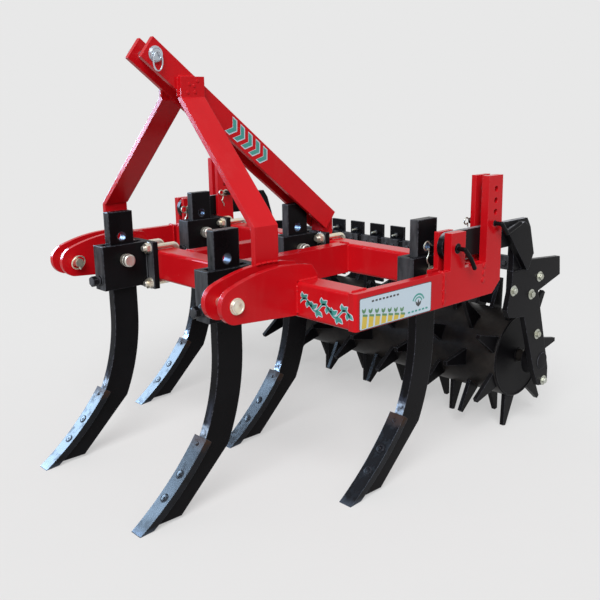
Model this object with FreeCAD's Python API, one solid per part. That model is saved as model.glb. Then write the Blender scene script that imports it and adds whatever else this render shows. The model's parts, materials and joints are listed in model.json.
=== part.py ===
"""Mounted chisel plough: five curved shanks on a two-beam frame, with a toothed packer roller behind.

Millimetres. X runs across the machine with +X on its left, -Y is the way it travels and +Z is up.
The ground it stands on is Z = 0, and the origin is the middle of its footprint.
Lengths along Y in the sections below are counted from the front beam's front face (FACE_Y),
and heights from the underside of the beams (BEAM_Z).
"""
import FreeCAD
import Part
import math
import os

# Frame
BEAM_HEIGHT = 100.0
BEAM_DEPTH = 80.0
BEAM_WALL = 8.0
BEAM_CORNER = 10.0
FRAME_WIDTH = 1373.0
SIDE_BAR = 25.0
ROW_SPACING = 525.0
INNER_BAR_WIDTH = 50.0
INNER_BAR_OFFSET = 134.0
UNDERBEAM = 563.0

# Shanks and their points
SHANK_TO_SIDE = 124.5
SHANK_TO_HITCH = 104.0
SHANK_THICKNESS = 30.0
SHANK_DEPTH = 88.0
SHANK_TOP = 236.0
SHANK_SETBACK = 58.0
SHANK_HOLE = 22.0
SHANK_TOP_HOLE = 30.0
SHANK_HOLE_PITCH = 76.0
SHANK_BOLT_Z = 79.0
BEND_START = -102.0
BEND_RADIUS = 589.0
BEND_ANGLE = 25.0
FOOT_LIFT = 10.0
POINT_SLOPE = 43.6
POINT_TOP_WIDTH = 56.0
POINT_TIP_WIDTH = 46.0
POINT_THICKNESS = 22.0
POINT_SEAT = 14.0
POINT_NOSE = 4.0
POINT_TURN = 10.2

# Shank holders and U-bolts
HOLDER_PLATE = 15.0
HOLDER_FRONT = 182.0
HOLDER_TOP = 130.0
FLANGE_BOTTOM = -28.0
POCKET_BOTTOM = -15.0
FLANGE_WIDTH = 136.0
FLANGE_PLATE = 20.0
U_ROD = 18.0
U_SPREAD = 92.0
U_GAP = 1.0
U_BEND = 16.0
NUT_AF = 30.0
NUT_HEIGHT = 16.0
THREAD_END = 10.0
SET_BOLT = 20.0
SET_BOLT_Z = 18.0

# Mast
MAST_WIDTH = 84.0
MAST_DEPTH = 70.0
MAST_CHEEK = 15.0
MAST_WEB = 10.0
MAST_SLOT = 190.0
MAST_LENGTH = 910.0
MAST_SLOPE = 38.1
MAST_TIP_Y = -137.0
MAST_TIP_Z = 755.0
TOP_PIN = 25.0
TOP_PIN_INSET = 32.0
FOOT_FRONT = 5.0
FOOT_LENGTH = 50.0
LEG_WIDTH = 83.0
LEG_FOOT_Y = -88.0
LEG_KNEE_Z = 250.0
LEG_HEAD_Z = 590.0
LEG_TOP_Z = 648.0
LEG_HEAD_Y = -63.0

# Lower hitch
HITCH_SPREAD = 855.0
HITCH_GAP = 53.0
HITCH_PLATE = 16.0
HITCH_PIN = 28.0
HITCH_PIN_Y = -210.0
HITCH_PIN_Z = 70.0
HITCH_EYE = 49.0
HITCH_CROWN = 52.0
PIN_HEAD = 40.0
PIN_HEAD_HEIGHT = 8.0
PIN_TAIL = 28.0

# Tail plates that carry the roller arms: the outer one carries on from the side bar
TAIL_INNER = 16.0
ARM_GAP = 20.5
TAIL_START = 363.0
TAIL_TAB_START = 393.0
TAIL_TAB_END = 460.0
TAIL_TAB_TOP = 207.0
TAIL_CUT = 36.0
POST_START = 566.0
POST_END = 636.0
POST_TOP = 356.0
PIVOT_Y = 424.0
PIVOT_Z = 161.0
PIVOT_PIN = 30.0
STOP_Y = 604.0
STOP_PITCH = 34.0
STOP_PIN = 18.0
HANDLE_ROD = 13.0
HANDLE_REACH = 24.0
HANDLE_LEG = 44.0
PIVOT_GRIP = 35.0
STOP_GRIP = 72.0

# Roller arms and the side plates that hang from them
ARM_BAR = 18.5
ARM_HEIGHT = 80.0
ARM_TOP = 205.0
ARM_SHOULDER = 827.0
ARM_CORNER = 31.0
ARM_END = 878.0
ARM_END_Z = 82.0
ARM_HEEL = 816.0
ARM_HEEL_Z = 40.0
GUSSET = 20.0
HANGER_FRONT = 757.0
HANGER_LOBE = 126.0
BEARING_OUTER = 110.0
BEARING_WIDTH = 28.0

# Roller
ROLLER_Y = 970.0
DRUM_RADIUS = 150.0
DRUM_WALL = 8.0
RING_COUNT = 11
DRUM_CLEARANCE = 51.5
DRUM_LIP = 6.0
TEETH = 7
TOOTH_RADIUS = 260.0
TOOTH_ROOT = 62.0
TOOTH_TIP = 14.0
TOOTH_PLATE = 15.0
SHAFT = 40.0
RUNNING_GAP = 0.05

# Scrapers
SCRAPER_BAR = 40.0
SCRAPER_BAR_Y = 1015.0
SCRAPER_BAR_Z = 10.0
SCRAPER_WIDTH = 72.0
SCRAPER_PLATE = 10.0
SCRAPER_TOP = 80.0
SCRAPER_GAP = 10.0

# Places worked out from the sizes above
PHASE = math.radians(360.0 / TEETH / 4.0)
AXLE_HEIGHT = TOOTH_RADIUS * math.cos(PHASE) + TOOTH_TIP / 2 * math.sin(PHASE)
SLOPE = math.radians(POINT_SLOPE)
BEND = math.radians(BEND_ANGLE)
SHANK_FRONT = -SHANK_SETBACK - SHANK_DEPTH
TOE_Y = SHANK_FRONT - BEND_RADIUS * (1 - math.cos(BEND))
TOE_Z = BEND_START - BEND_RADIUS * math.sin(BEND)
PROUD = POINT_THICKNESS - POINT_SEAT
TOP_SLOPE = SLOPE + math.radians(POINT_TURN)
FACE_TOP_Y = TOE_Y - PROUD * math.sin(TOP_SLOPE)
FACE_TOP_Z = TOE_Z + PROUD * math.cos(TOP_SLOPE)
TIP_Y = FACE_TOP_Y - (UNDERBEAM + FACE_TOP_Z) / math.tan(SLOPE)
POINT_LENGTH = (UNDERBEAM + FACE_TOP_Z) / math.sin(SLOPE)
POINT_CURVE = POINT_LENGTH / 2 / math.sin(math.radians(POINT_TURN))
CURVE_Y = FACE_TOP_Y - POINT_CURVE * math.sin(TOP_SLOPE)
CURVE_Z = FACE_TOP_Z + POINT_CURVE * math.cos(TOP_SLOPE)
FACE_Y = -(TIP_Y + ROLLER_Y + TOOTH_RADIUS) / 2
BEAM_Z = UNDERBEAM
HALF = FRAME_WIDTH / 2
REAR_FACE = ROW_SPACING
REAR_END = ROW_SPACING + BEAM_DEPTH
ARM_OUTER_FACE = HALF - SIDE_BAR - (ARM_GAP - ARM_BAR) / 2
ARM_INNER_FACE = ARM_OUTER_FACE - ARM_BAR
TAIL_INNER_FACE = HALF - SIDE_BAR - ARM_GAP - TAIL_INNER
HITCH_INNER_FACE = (HITCH_SPREAD - HITCH_GAP) / 2 - HITCH_PLATE
FRONT_SHANK_X = HITCH_INNER_FACE - SHANK_TO_HITCH
REAR_SHANK_X = HALF - SHANK_TO_SIDE
RING_PITCH = (ARM_INNER_FACE - BEARING_WIDTH - DRUM_CLEARANCE - TOOTH_PLATE / 2) / (RING_COUNT - 1) * 2
MAST_GAP = MAST_WIDTH - 2 * MAST_CHEEK


def V(x, y, z):
    """A point at x, y behind the front beam's face and z above the beams' underside."""
    return FreeCAD.Vector(x, FACE_Y + y, BEAM_Z + z)


def block(x0, x1, y0, y1, z0, z1):
    """A square-cornered bar between two corners."""
    return Part.makeBox(x1 - x0, y1 - y0, z1 - z0, V(x0, y0, z0))


def plate(points, x0, x1):
    """A flat plate from x0 to x1 with a straight-sided outline of (y, z) points."""
    ring = [V(x0, y, z) for y, z in points]
    face = Part.Face(Part.makePolygon(ring + ring[:1]))
    return face.extrude(FreeCAD.Vector(x1 - x0, 0, 0))


def plate_of(edges, x0, x1):
    """A flat plate from x0 to x1 with an outline of lines and arcs drawn at x0."""
    face = Part.Face(Part.Wire(edges))
    return face.extrude(FreeCAD.Vector(x1 - x0, 0, 0))


def line(a, b, x):
    return Part.makeLine(V(x, *a), V(x, *b))


def arc(a, b, c, x):
    return Part.Arc(V(x, *a), V(x, *b), V(x, *c)).toShape()


def rod(radius, x0, x1, y, z):
    """A round bar across the machine."""
    return Part.makeCylinder(radius, x1 - x0, V(x0, y, z), FreeCAD.Vector(1, 0, 0))


def rod_back(radius, x, y0, y1, z):
    """A round bar along the machine."""
    return Part.makeCylinder(radius, y1 - y0, V(x, y0, z), FreeCAD.Vector(0, 1, 0))


def hexagon(flats, height, x, y, z):
    """A nut or bolt head whose axis runs along the machine."""
    corner = flats / math.sqrt(3)
    turns = [math.radians(30 + 60 * k) for k in range(7)]
    ring = [V(x + corner * math.cos(turn), y, z + corner * math.sin(turn)) for turn in turns]
    return Part.Face(Part.makePolygon(ring)).extrude(FreeCAD.Vector(0, height, 0))


def mirrored(shape):
    return shape.mirror(FreeCAD.Vector(0, 0, 0), FreeCAD.Vector(1, 0, 0))


def fused(shapes):
    whole = shapes[0]
    for shape in shapes[1:]:
        whole = whole.fuse(shape)
    return whole.removeSplitter()


def save(name, shape):
    shape.exportStep("parts/" + name + ".step")


def save_pair(name, left):
    save(name + "_left", left)
    save(name + "_right", mirrored(left))


def cross_beam(y0):
    """A rolled hollow section between the side bars."""
    end = HALF - SIDE_BAR
    outer = block(-end, end, y0, y0 + BEAM_DEPTH, 0, BEAM_HEIGHT)
    edges = [e for e in outer.Edges if abs(e.tangentAt(e.FirstParameter).x) > 0.9]
    outer = outer.makeFillet(BEAM_CORNER, edges)
    inner = block(-end, end, y0 + BEAM_WALL, y0 + BEAM_DEPTH - BEAM_WALL, BEAM_WALL, BEAM_HEIGHT - BEAM_WALL)
    return outer.cut(inner)


def side_bar():
    """A flat bar on edge on the beams' ends, with its front corner rounded over."""
    bar = block(HALF - SIDE_BAR, HALF, 0, TAIL_START, 0, BEAM_HEIGHT)
    corner = [e for e in bar.Edges
              if abs(e.tangentAt(e.FirstParameter).z) > 0.9
              and e.CenterOfMass.x > HALF - 1 and e.CenterOfMass.y < FACE_Y + 1]
    return bar.makeFillet(BEAM_CORNER, corner)


def inner_bar():
    x0 = INNER_BAR_OFFSET - INNER_BAR_WIDTH / 2
    return block(x0, x0 + INNER_BAR_WIDTH, BEAM_DEPTH, REAR_FACE, 0, BEAM_HEIGHT)


def mast_place(shape):
    """Tip a shape drawn along Y, with its top front edge at zero, down the mast's slope."""
    shape.rotate(FreeCAD.Vector(0, 0, 0), FreeCAD.Vector(1, 0, 0), -MAST_SLOPE)
    shape.translate(V(0, MAST_TIP_Y, MAST_TIP_Z))
    return shape


def mast_beam():
    """The sloping top beam: two cheeks joined by a web along their top, which stops short of the top link."""
    half = MAST_WIDTH / 2
    gap = MAST_GAP / 2
    beam = Part.makeBox(MAST_WIDTH, MAST_LENGTH, MAST_DEPTH, FreeCAD.Vector(-half, 0, -MAST_DEPTH))
    under = Part.makeBox(MAST_GAP, MAST_LENGTH, MAST_DEPTH - MAST_WEB, FreeCAD.Vector(-gap, 0, -MAST_DEPTH))
    slot = Part.makeBox(MAST_GAP, MAST_SLOT, MAST_DEPTH, FreeCAD.Vector(-gap, 0, -MAST_DEPTH))
    hole = Part.makeCylinder(TOP_PIN / 2, MAST_WIDTH, FreeCAD.Vector(-half, TOP_PIN_INSET, -MAST_DEPTH / 2),
                             FreeCAD.Vector(1, 0, 0))
    return mast_place(beam.cut(under).cut(slot).cut(hole))


def top_link_pin():
    half = MAST_WIDTH / 2
    start = FreeCAD.Vector(-half - PIN_TAIL, TOP_PIN_INSET, -MAST_DEPTH / 2)
    pin = Part.makeCylinder(TOP_PIN / 2, MAST_WIDTH + PIN_TAIL, start, FreeCAD.Vector(1, 0, 0))
    head = Part.makeCylinder(PIN_HEAD / 2, PIN_HEAD_HEIGHT, FreeCAD.Vector(half, TOP_PIN_INSET, -MAST_DEPTH / 2),
                             FreeCAD.Vector(1, 0, 0))
    return mast_place(pin.fuse(head))


def web_underside(y):
    """Height of the underside of the mast's web at y."""
    slope = math.radians(MAST_SLOPE)
    return MAST_TIP_Z - MAST_WEB / math.cos(slope) - (y - MAST_TIP_Y) * math.tan(slope)


def mast_foot():
    """The post between the mast's cheeks that stands its rear end on the rear beam."""
    y0 = REAR_FACE + FOOT_FRONT
    y1 = y0 + FOOT_LENGTH
    outline = [(y0, BEAM_HEIGHT), (y1, BEAM_HEIGHT), (y1, web_underside(y1)), (y0, web_underside(y0))]
    return plate(outline, -MAST_GAP / 2, MAST_GAP / 2)


def mast_leg():
    """A bent flat bar from the crown of the inner hitch plate up to the side of the mast."""
    foot_x = HITCH_SPREAD / 2 - HITCH_GAP / 2
    head_x = MAST_WIDTH / 2 + HITCH_PLATE
    run = foot_x - head_x
    rise = LEG_HEAD_Z - LEG_KNEE_Z
    skewed = HITCH_PLATE / math.cos(math.atan2(run, rise))
    foot = block(foot_x - HITCH_PLATE, foot_x, LEG_FOOT_Y, LEG_FOOT_Y + LEG_WIDTH, BEAM_HEIGHT, LEG_KNEE_Z)
    knee = [V(foot_x - skewed, LEG_FOOT_Y, LEG_KNEE_Z), V(foot_x, LEG_FOOT_Y, LEG_KNEE_Z),
            V(foot_x, LEG_FOOT_Y + LEG_WIDTH, LEG_KNEE_Z), V(foot_x - skewed, LEG_FOOT_Y + LEG_WIDTH, LEG_KNEE_Z)]
    lean = FreeCAD.Vector(-run, LEG_HEAD_Y - LEG_FOOT_Y, rise)
    brace = Part.Face(Part.makePolygon(knee + knee[:1])).extrude(lean)
    head = block(head_x - HITCH_PLATE, head_x, LEG_HEAD_Y, LEG_HEAD_Y + LEG_WIDTH, LEG_HEAD_Z, LEG_TOP_Z)
    mast_side = block(-MAST_WIDTH / 2, MAST_WIDTH / 2, LEG_HEAD_Y - LEG_WIDTH, LEG_HEAD_Y + 2 * LEG_WIDTH,
                      LEG_KNEE_Z, LEG_TOP_Z)
    return fused([foot, brace, head]).cut(mast_side).cut(hitch_plate(foot_x - HITCH_PLATE))


def hitch_plate(x0):
    """One lower hitch plate, notched over the front beam, with a round eye for the pin."""
    eye_top = (HITCH_PIN_Y - HITCH_EYE * math.sin(math.radians(18)),
               HITCH_PIN_Z + HITCH_EYE * math.cos(math.radians(18)))
    eye_front = (HITCH_PIN_Y - HITCH_EYE, HITCH_PIN_Z)
    eye_low = (HITCH_PIN_Y, HITCH_PIN_Z - HITCH_EYE)
    crown = BEAM_HEIGHT + HITCH_CROWN
    heel = BEAM_DEPTH + 4
    edges = [
        arc(eye_low, eye_front, eye_top, x0),
        arc(eye_top, (-HITCH_CROWN, crown - 2), (BEAM_DEPTH * 0.7, crown - 12), x0),
        line((BEAM_DEPTH * 0.7, crown - 12), (heel, BEAM_HEIGHT), x0),
        line((heel, BEAM_HEIGHT), (0, BEAM_HEIGHT), x0),
        line((0, BEAM_HEIGHT), (0, 6), x0),
        line((0, 6), eye_low, x0),
    ]
    blank = plate_of(edges, x0, x0 + HITCH_PLATE)
    return blank.cut(rod(HITCH_PIN / 2, x0, x0 + HITCH_PLATE, HITCH_PIN_Y, HITCH_PIN_Z))


def hitch_clevis():
    """The two plates that take a lower link's ball between them."""
    centre = HITCH_SPREAD / 2
    inner = hitch_plate(centre - HITCH_GAP / 2 - HITCH_PLATE)
    outer = hitch_plate(centre + HITCH_GAP / 2)
    return Part.makeCompound([inner, outer])


def hitch_pin():
    reach = HITCH_GAP / 2 + HITCH_PLATE
    inside = HITCH_SPREAD / 2 - reach
    outside = HITCH_SPREAD / 2 + reach
    pin = rod(HITCH_PIN / 2, inside - PIN_TAIL, outside, HITCH_PIN_Y, HITCH_PIN_Z)
    return pin.fuse(rod(PIN_HEAD / 2, outside, outside + PIN_HEAD_HEIGHT, HITCH_PIN_Y, HITCH_PIN_Z))


def along(start, distance):
    """A (y, z) point down the share's slope from start."""
    return start[0] - distance * math.cos(SLOPE), start[1] - distance * math.sin(SLOPE)


def down_to(start, height):
    """The point on the share's slope from start that is height above the ground."""
    return along(start, (start[1] + UNDERBEAM - height) / math.sin(SLOPE))


def curve_point(depth, height):
    """The point depth behind the share's hollow face that is height above the ground."""
    radius = POINT_CURVE + depth
    rise = CURVE_Z + UNDERBEAM - height
    return CURVE_Y + math.sqrt(radius ** 2 - rise ** 2), height - UNDERBEAM


def curve_top(depth):
    """The point depth behind the share's face at its top end."""
    radius = POINT_CURVE + depth
    return CURVE_Y + radius * math.sin(TOP_SLOPE), CURVE_Z - radius * math.cos(TOP_SLOPE)


def curve_middle(depth, low):
    """A point depth behind the share's face, half way from its top down to low."""
    height = (curve_top(depth)[1] + low[1]) / 2 + UNDERBEAM
    return curve_point(depth, height)


def shank(x, row_y):
    """A straight stem that curves forwards into a foot, with a row of bolt holes up the stem."""
    x0 = x - SHANK_THICKNESS / 2
    centre = SHANK_FRONT - BEND_RADIUS
    rear_radius = BEND_RADIUS + SHANK_DEPTH

    def bend(radius, angle):
        return centre + radius * math.cos(angle), BEND_START - radius * math.sin(angle)

    front_toe = (TOE_Y, TOE_Z)
    seat = curve_top(POINT_THICKNESS)
    heel = bend(rear_radius, BEND)
    corners = {
        "top": [(SHANK_FRONT, SHANK_TOP), (-SHANK_SETBACK, SHANK_TOP)],
        "foot": [down_to(heel, FOOT_LIFT), curve_point(POINT_THICKNESS, FOOT_LIFT)],
    }

    def at(point):
        return point[0] + row_y, point[1]

    top_front, top_rear = corners["top"]
    foot_rear, foot_front = corners["foot"]
    edges = [
        line(at(top_front), at(top_rear), x0),
        line(at(top_rear), at(bend(rear_radius, 0)), x0),
        arc(at(bend(rear_radius, 0)), at(bend(rear_radius, BEND / 2)), at(heel), x0),
        line(at(heel), at(foot_rear), x0),
        line(at(foot_rear), at(foot_front), x0),
        arc(at(foot_front), at(curve_middle(POINT_THICKNESS, foot_front)), at(seat), x0),
        line(at(seat), at(front_toe), x0),
        arc(at(front_toe), at(bend(BEND_RADIUS, BEND / 2)), at(bend(BEND_RADIUS, 0)), x0),
        line(at(bend(BEND_RADIUS, 0)), at(top_front), x0),
    ]
    body = plate_of(edges, x0, x0 + SHANK_THICKNESS)
    middle = row_y + (SHANK_FRONT - SHANK_SETBACK) / 2
    for step in range(2):
        z = SHANK_BOLT_Z + step * SHANK_HOLE_PITCH
        hole = SHANK_TOP_HOLE if step else SHANK_HOLE
        body = body.cut(rod(hole / 2, x0, x0 + SHANK_THICKNESS, middle, z))
    return body


def shank_point(x, row_y):
    """The wearing share on the shank's foot: hollow-faced, narrower below and cut to a chisel edge."""
    x0 = x - POINT_TOP_WIDTH / 2
    tip = (TIP_Y, -UNDERBEAM)
    nose = curve_point(POINT_THICKNESS, POINT_NOSE)
    top, back = curve_top(0), curve_top(POINT_THICKNESS)

    def at(point):
        return point[0] + row_y, point[1]

    edges = [
        arc(at(top), at(curve_middle(0, tip)), at(tip), x0),
        line(at(tip), at(nose), x0),
        arc(at(nose), at(curve_middle(POINT_THICKNESS, nose)), at(back), x0),
        line(at(back), at(top), x0),
    ]
    blank = plate_of(edges, x0, x0 + POINT_TOP_WIDTH)
    length = POINT_LENGTH
    taper = (POINT_TOP_WIDTH - POINT_TIP_WIDTH) / length
    ring = []
    for side, down in ((-1, -POINT_SEAT), (1, -POINT_SEAT), (1, length + POINT_SEAT), (-1, length + POINT_SEAT)):
        y, z = along(top, down)
        ring.append(V(x + side * (POINT_TOP_WIDTH - taper * max(down, 0)) / 2, row_y + y, z))
    inwards = FreeCAD.Vector(0, math.sin(SLOPE), -math.cos(SLOPE))
    sides = Part.Face(Part.makePolygon(ring + ring[:1])).extrude(inwards * 2 * POINT_THICKNESS)
    return blank.common(sides)


def shank_holder(x, row_y):
    """A pocket on the beam's front face: flange, two cheeks and a front wall with a set bolt.

    The flanges stop at the inner tail plates, and those of the front row at the hitch plates.
    """
    inner = SHANK_THICKNESS / 2
    outer = inner + HOLDER_PLATE
    limit = TAIL_INNER_FACE if row_y > 0 else HITCH_INNER_FACE
    right = max(x - FLANGE_WIDTH / 2, -limit)
    left = min(x + FLANGE_WIDTH / 2, limit)
    flange = block(right, left, row_y - FLANGE_PLATE, row_y, FLANGE_BOTTOM, HOLDER_TOP)
    pocket = block(x - outer, x + outer, row_y - HOLDER_FRONT, row_y - FLANGE_PLATE, POCKET_BOTTOM, HOLDER_TOP)
    opening = block(x - inner, x + inner, row_y - HOLDER_FRONT + HOLDER_PLATE, row_y - FLANGE_PLATE,
                    POCKET_BOTTOM, HOLDER_TOP)
    body = flange.fuse(pocket.cut(opening))
    middle = row_y + (SHANK_FRONT - SHANK_SETBACK) / 2
    body = body.cut(rod(SHANK_HOLE / 2, x - outer, x + outer, middle, SHANK_BOLT_Z))
    for side in (-1, 1):
        for z in u_bolt_heights():
            hole = rod_back(U_ROD / 2, x + side * U_SPREAD / 2, row_y - FLANGE_PLATE, row_y, z)
            body = body.cut(hole)
    set_bolt = rod_back(SET_BOLT / 2, x, row_y - HOLDER_FRONT - NUT_HEIGHT, row_y + SHANK_FRONT, SET_BOLT_Z)
    set_head = hexagon(NUT_AF, NUT_HEIGHT, x, row_y - HOLDER_FRONT - 2 * NUT_HEIGHT, SET_BOLT_Z)
    lock_nut = hexagon(NUT_AF, NUT_HEIGHT / 2, x, row_y - HOLDER_FRONT - NUT_HEIGHT / 2, SET_BOLT_Z)
    return fused([body, set_bolt, set_head, lock_nut])


def shank_bolt(x, row_y):
    """The bolt through the holder's cheeks and the shank."""
    outer = SHANK_THICKNESS / 2 + HOLDER_PLATE
    middle = row_y + (SHANK_FRONT - SHANK_SETBACK) / 2
    stem = rod(SHANK_HOLE / 2, x - outer - NUT_HEIGHT - THREAD_END, x + outer, middle, SHANK_BOLT_Z)
    head = rod(PIN_HEAD / 2, x + outer, x + outer + NUT_HEIGHT, middle, SHANK_BOLT_Z)
    nut = rod(NUT_AF / 2, x - outer - NUT_HEIGHT, x - outer, middle, SHANK_BOLT_Z)
    return fused([stem, head, nut])


def u_bolt_heights():
    """Heights of a U-bolt's two legs, just under and just over the beam."""
    clear = U_ROD / 2 + U_GAP
    return -clear, BEAM_HEIGHT + clear


def u_bolt(x, row_y):
    """A square-backed U-bolt round the beam, with its nuts on the holder's flange."""
    low, high = u_bolt_heights()
    front = row_y - FLANGE_PLATE - NUT_HEIGHT - THREAD_END
    back = row_y + BEAM_DEPTH + U_ROD / 2 + U_GAP
    turn = back - U_BEND
    cut = U_BEND * (1 - math.cos(math.radians(45)))
    path = Part.Wire([
        line((front, high), (turn, high), x),
        arc((turn, high), (back - cut, high - cut), (back, high - U_BEND), x),
        line((back, high - U_BEND), (back, low + U_BEND), x),
        arc((back, low + U_BEND), (back - cut, low + cut), (turn, low), x),
        line((turn, low), (front, low), x),
    ])
    ring = Part.Wire(Part.makeCircle(U_ROD / 2, V(x, front, high), FreeCAD.Vector(0, 1, 0)))
    bolt = path.makePipeShell([ring], True, True)
    nuts = [hexagon(NUT_AF, NUT_HEIGHT, x, row_y - FLANGE_PLATE - NUT_HEIGHT, z) for z in (low, high)]
    return fused([bolt] + nuts)


def tail_plate(x0, thickness):
    """One of the two plates that hold a roller arm: a tab for its pivot and a post for its stop pin."""
    outline = [(TAIL_START, 0), (TAIL_START, BEAM_HEIGHT), (TAIL_TAB_START, BEAM_HEIGHT),
               (TAIL_TAB_START, TAIL_TAB_TOP), (TAIL_TAB_END, TAIL_TAB_TOP), (TAIL_TAB_END, BEAM_HEIGHT),
               (POST_START, BEAM_HEIGHT), (POST_START, POST_TOP), (POST_END, POST_TOP),
               (POST_END + TAIL_CUT / 4, TAIL_CUT), (REAR_END, 0)]
    body = plate(outline, x0, x0 + thickness)
    body = body.cut(rod(PIVOT_PIN / 2, x0, x0 + thickness, PIVOT_Y, PIVOT_Z))
    for z in stop_heights():
        body = body.cut(rod(STOP_PIN / 2, x0, x0 + thickness, STOP_Y, z))
    return body


def stop_heights():
    """Heights of the stop pin's holes: the lowest rests on the arm."""
    return [ARM_TOP + STOP_PIN / 2 + STOP_PITCH * k for k in range(4)]


def tail_plates():
    """The outer plate runs past the rear beam's end, and the inner one is cut in two by the beam."""
    outer = tail_plate(HALF - SIDE_BAR, SIDE_BAR)
    inner = tail_plate(TAIL_INNER_FACE, TAIL_INNER)
    beam = block(TAIL_INNER_FACE, HALF, REAR_FACE, REAR_END, 0, BEAM_HEIGHT)
    return Part.makeCompound([outer] + inner.cut(beam).Solids)


def bent_rod(radius, points):
    """A round bar through the points, with round corners."""
    pieces = [Part.makeSphere(radius, point) for point in points[1:]]
    for start, end in zip(points, points[1:]):
        pieces.append(Part.makeCylinder(radius, (end - start).Length, start, end - start))
    return fused(pieces)


def tail_pin(radius, y, z, grip, rise):
    """A pin whose rod handle leaves its outer end, drops and turns into a grip that rises by an angle."""
    stem = rod(radius, TAIL_INNER_FACE - PIN_TAIL, HALF, y, z)
    drop = HANDLE_LEG / math.sqrt(2)
    outer = HALF + HANDLE_REACH
    turn = math.radians(rise)
    route = [V(HALF - SIDE_BAR / 2, y, z), V(outer, y, z), V(outer, y + drop, z - drop),
             V(outer, y + drop + grip * math.cos(turn), z - drop + grip * math.sin(turn))]
    return stem.fuse(bent_rod(HANDLE_ROD / 2, route))


def tail_pins():
    """The arm's pivot pin and the stop pin above the arm."""
    pivot = tail_pin(PIVOT_PIN / 2, PIVOT_Y, PIVOT_Z, PIVOT_GRIP, -57)
    stop = tail_pin(STOP_PIN / 2, STOP_Y, stop_heights()[0], STOP_GRIP, 18)
    return Part.makeCompound([pivot, stop])


def arm_rear():
    """The arm's rear end from its heel up to its shoulder."""
    return [(HANGER_FRONT, ARM_HEEL_Z), (ARM_HEEL, ARM_HEEL_Z), (ARM_END, ARM_END_Z),
            (ARM_SHOULDER + 0.7 * ARM_CORNER, ARM_TOP - ARM_CORNER), (ARM_SHOULDER, ARM_TOP)]


def roller_arm():
    """The flat bar that swings on the pivot pin between the tail plates, deepened at its rear end."""
    x0 = ARM_INNER_FACE
    low = ARM_TOP - ARM_HEIGHT
    nose = ARM_HEIGHT / 2
    front = PIVOT_Y - nose
    edges = [
        line((HANGER_FRONT, low), (front + nose, low), x0),
        arc((front + nose, low), (front, low + nose), (front + nose, ARM_TOP), x0),
    ]
    rear = [(HANGER_FRONT, low)] + arm_rear() + [(front + nose, ARM_TOP)]
    edges += [line(first, second, x0) for first, second in zip(rear, rear[1:])]
    bar = plate_of(edges, x0, ARM_OUTER_FACE)
    return bar.cut(rod(PIVOT_PIN / 2 + RUNNING_GAP, x0, ARM_OUTER_FACE, PIVOT_Y, PIVOT_Z))


def arm_gusset():
    """The stiffener on the outside of the arm's rear end."""
    g = GUSSET
    outline = [(HANGER_FRONT - 3.5 * g, ARM_TOP - 1.3 * g), (ARM_SHOULDER - 2.3 * g, ARM_TOP - 0.3 * g),
               (ARM_SHOULDER - 0.7 * g, ARM_TOP - 1.2 * g), (ARM_END - 1.8 * g, ARM_END_Z + 0.4 * g),
               (ARM_HEEL, ARM_HEEL_Z), (ARM_HEEL - 0.4 * g, ARM_HEEL_Z)]
    return plate(outline, ARM_OUTER_FACE, ARM_OUTER_FACE + GUSSET)


def axle_z():
    return AXLE_HEIGHT - UNDERBEAM


def hanger_outline():
    """From the arm's underside round the scraper bracket, down to the bearing and up the front lobe."""
    y, z = ROLLER_Y, axle_z()
    bar_y, bar_z, b = SCRAPER_BAR_Y, SCRAPER_BAR_Z, SCRAPER_BAR
    r, front, lobe = BEARING_OUTER / 2, HANGER_FRONT, HANGER_LOBE
    heel = arm_rear()[1]
    end = arm_rear()[2]
    seat = (heel[0] + 0.6 * (end[0] - heel[0]), heel[1] + 0.6 * (end[1] - heel[1]))
    bracket = [seat, (bar_y + 0.8 * b, bar_z + b), (bar_y + b, bar_z - 0.6 * b), (bar_y - 2.4 * b, bar_z - 1.5 * b)]
    leg = [(y + 0.76 * r, z - 0.58 * r), (y + 0.8 * r, z - 1.44 * r), (y + 0.36 * r, z - 1.7 * r),
           (y - 0.28 * r, z - 1.58 * r), (y - 0.84 * r, z - 0.58 * r)]
    nose = [(front + 0.66 * lobe, -lobe), (front - 0.05 * lobe, -0.89 * lobe), (front - 0.17 * lobe, -0.68 * lobe),
            (front, -0.07 * lobe)]
    return [(front, heel[1]), heel] + bracket + leg + nose


def side_plate():
    """The hanger below the arm, with the roller's bearing and the bracket for the scraper bar."""
    y, z = ROLLER_Y, axle_z()
    inner = ARM_INNER_FACE - BEARING_WIDTH
    body = plate(hanger_outline(), ARM_INNER_FACE, ARM_OUTER_FACE)
    hub = rod(BEARING_OUTER / 2, inner, ARM_INNER_FACE, y, z)
    return body.fuse(hub).cut(rod(SHAFT / 2 + RUNNING_GAP, inner, ARM_OUTER_FACE, y, z))


def scraper_bar():
    half = SCRAPER_BAR / 2
    return block(-ARM_INNER_FACE, ARM_INNER_FACE, SCRAPER_BAR_Y - half, SCRAPER_BAR_Y + half,
                 SCRAPER_BAR_Z - half, SCRAPER_BAR_Z + half)


def scrapers():
    """Plates that hang between the toothed rings and stop just clear of the drum."""
    y0 = SCRAPER_BAR_Y + SCRAPER_BAR / 2
    y1 = y0 + SCRAPER_PLATE
    reach = DRUM_RADIUS + SCRAPER_GAP
    low = axle_z() + math.sqrt(reach ** 2 - (y0 - ROLLER_Y) ** 2)
    plates = []
    for k in range(RING_COUNT - 1):
        x = (k - (RING_COUNT - 2) / 2) * RING_PITCH
        plates.append(block(x - SCRAPER_WIDTH / 2, x + SCRAPER_WIDTH / 2, y0, y1, low, SCRAPER_TOP))
    return Part.makeCompound(plates)


def drum_half():
    """Half the drum's length: its ends stand just outside the outer rings."""
    return (RING_COUNT - 1) / 2 * RING_PITCH + TOOTH_PLATE / 2 + DRUM_LIP


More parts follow.
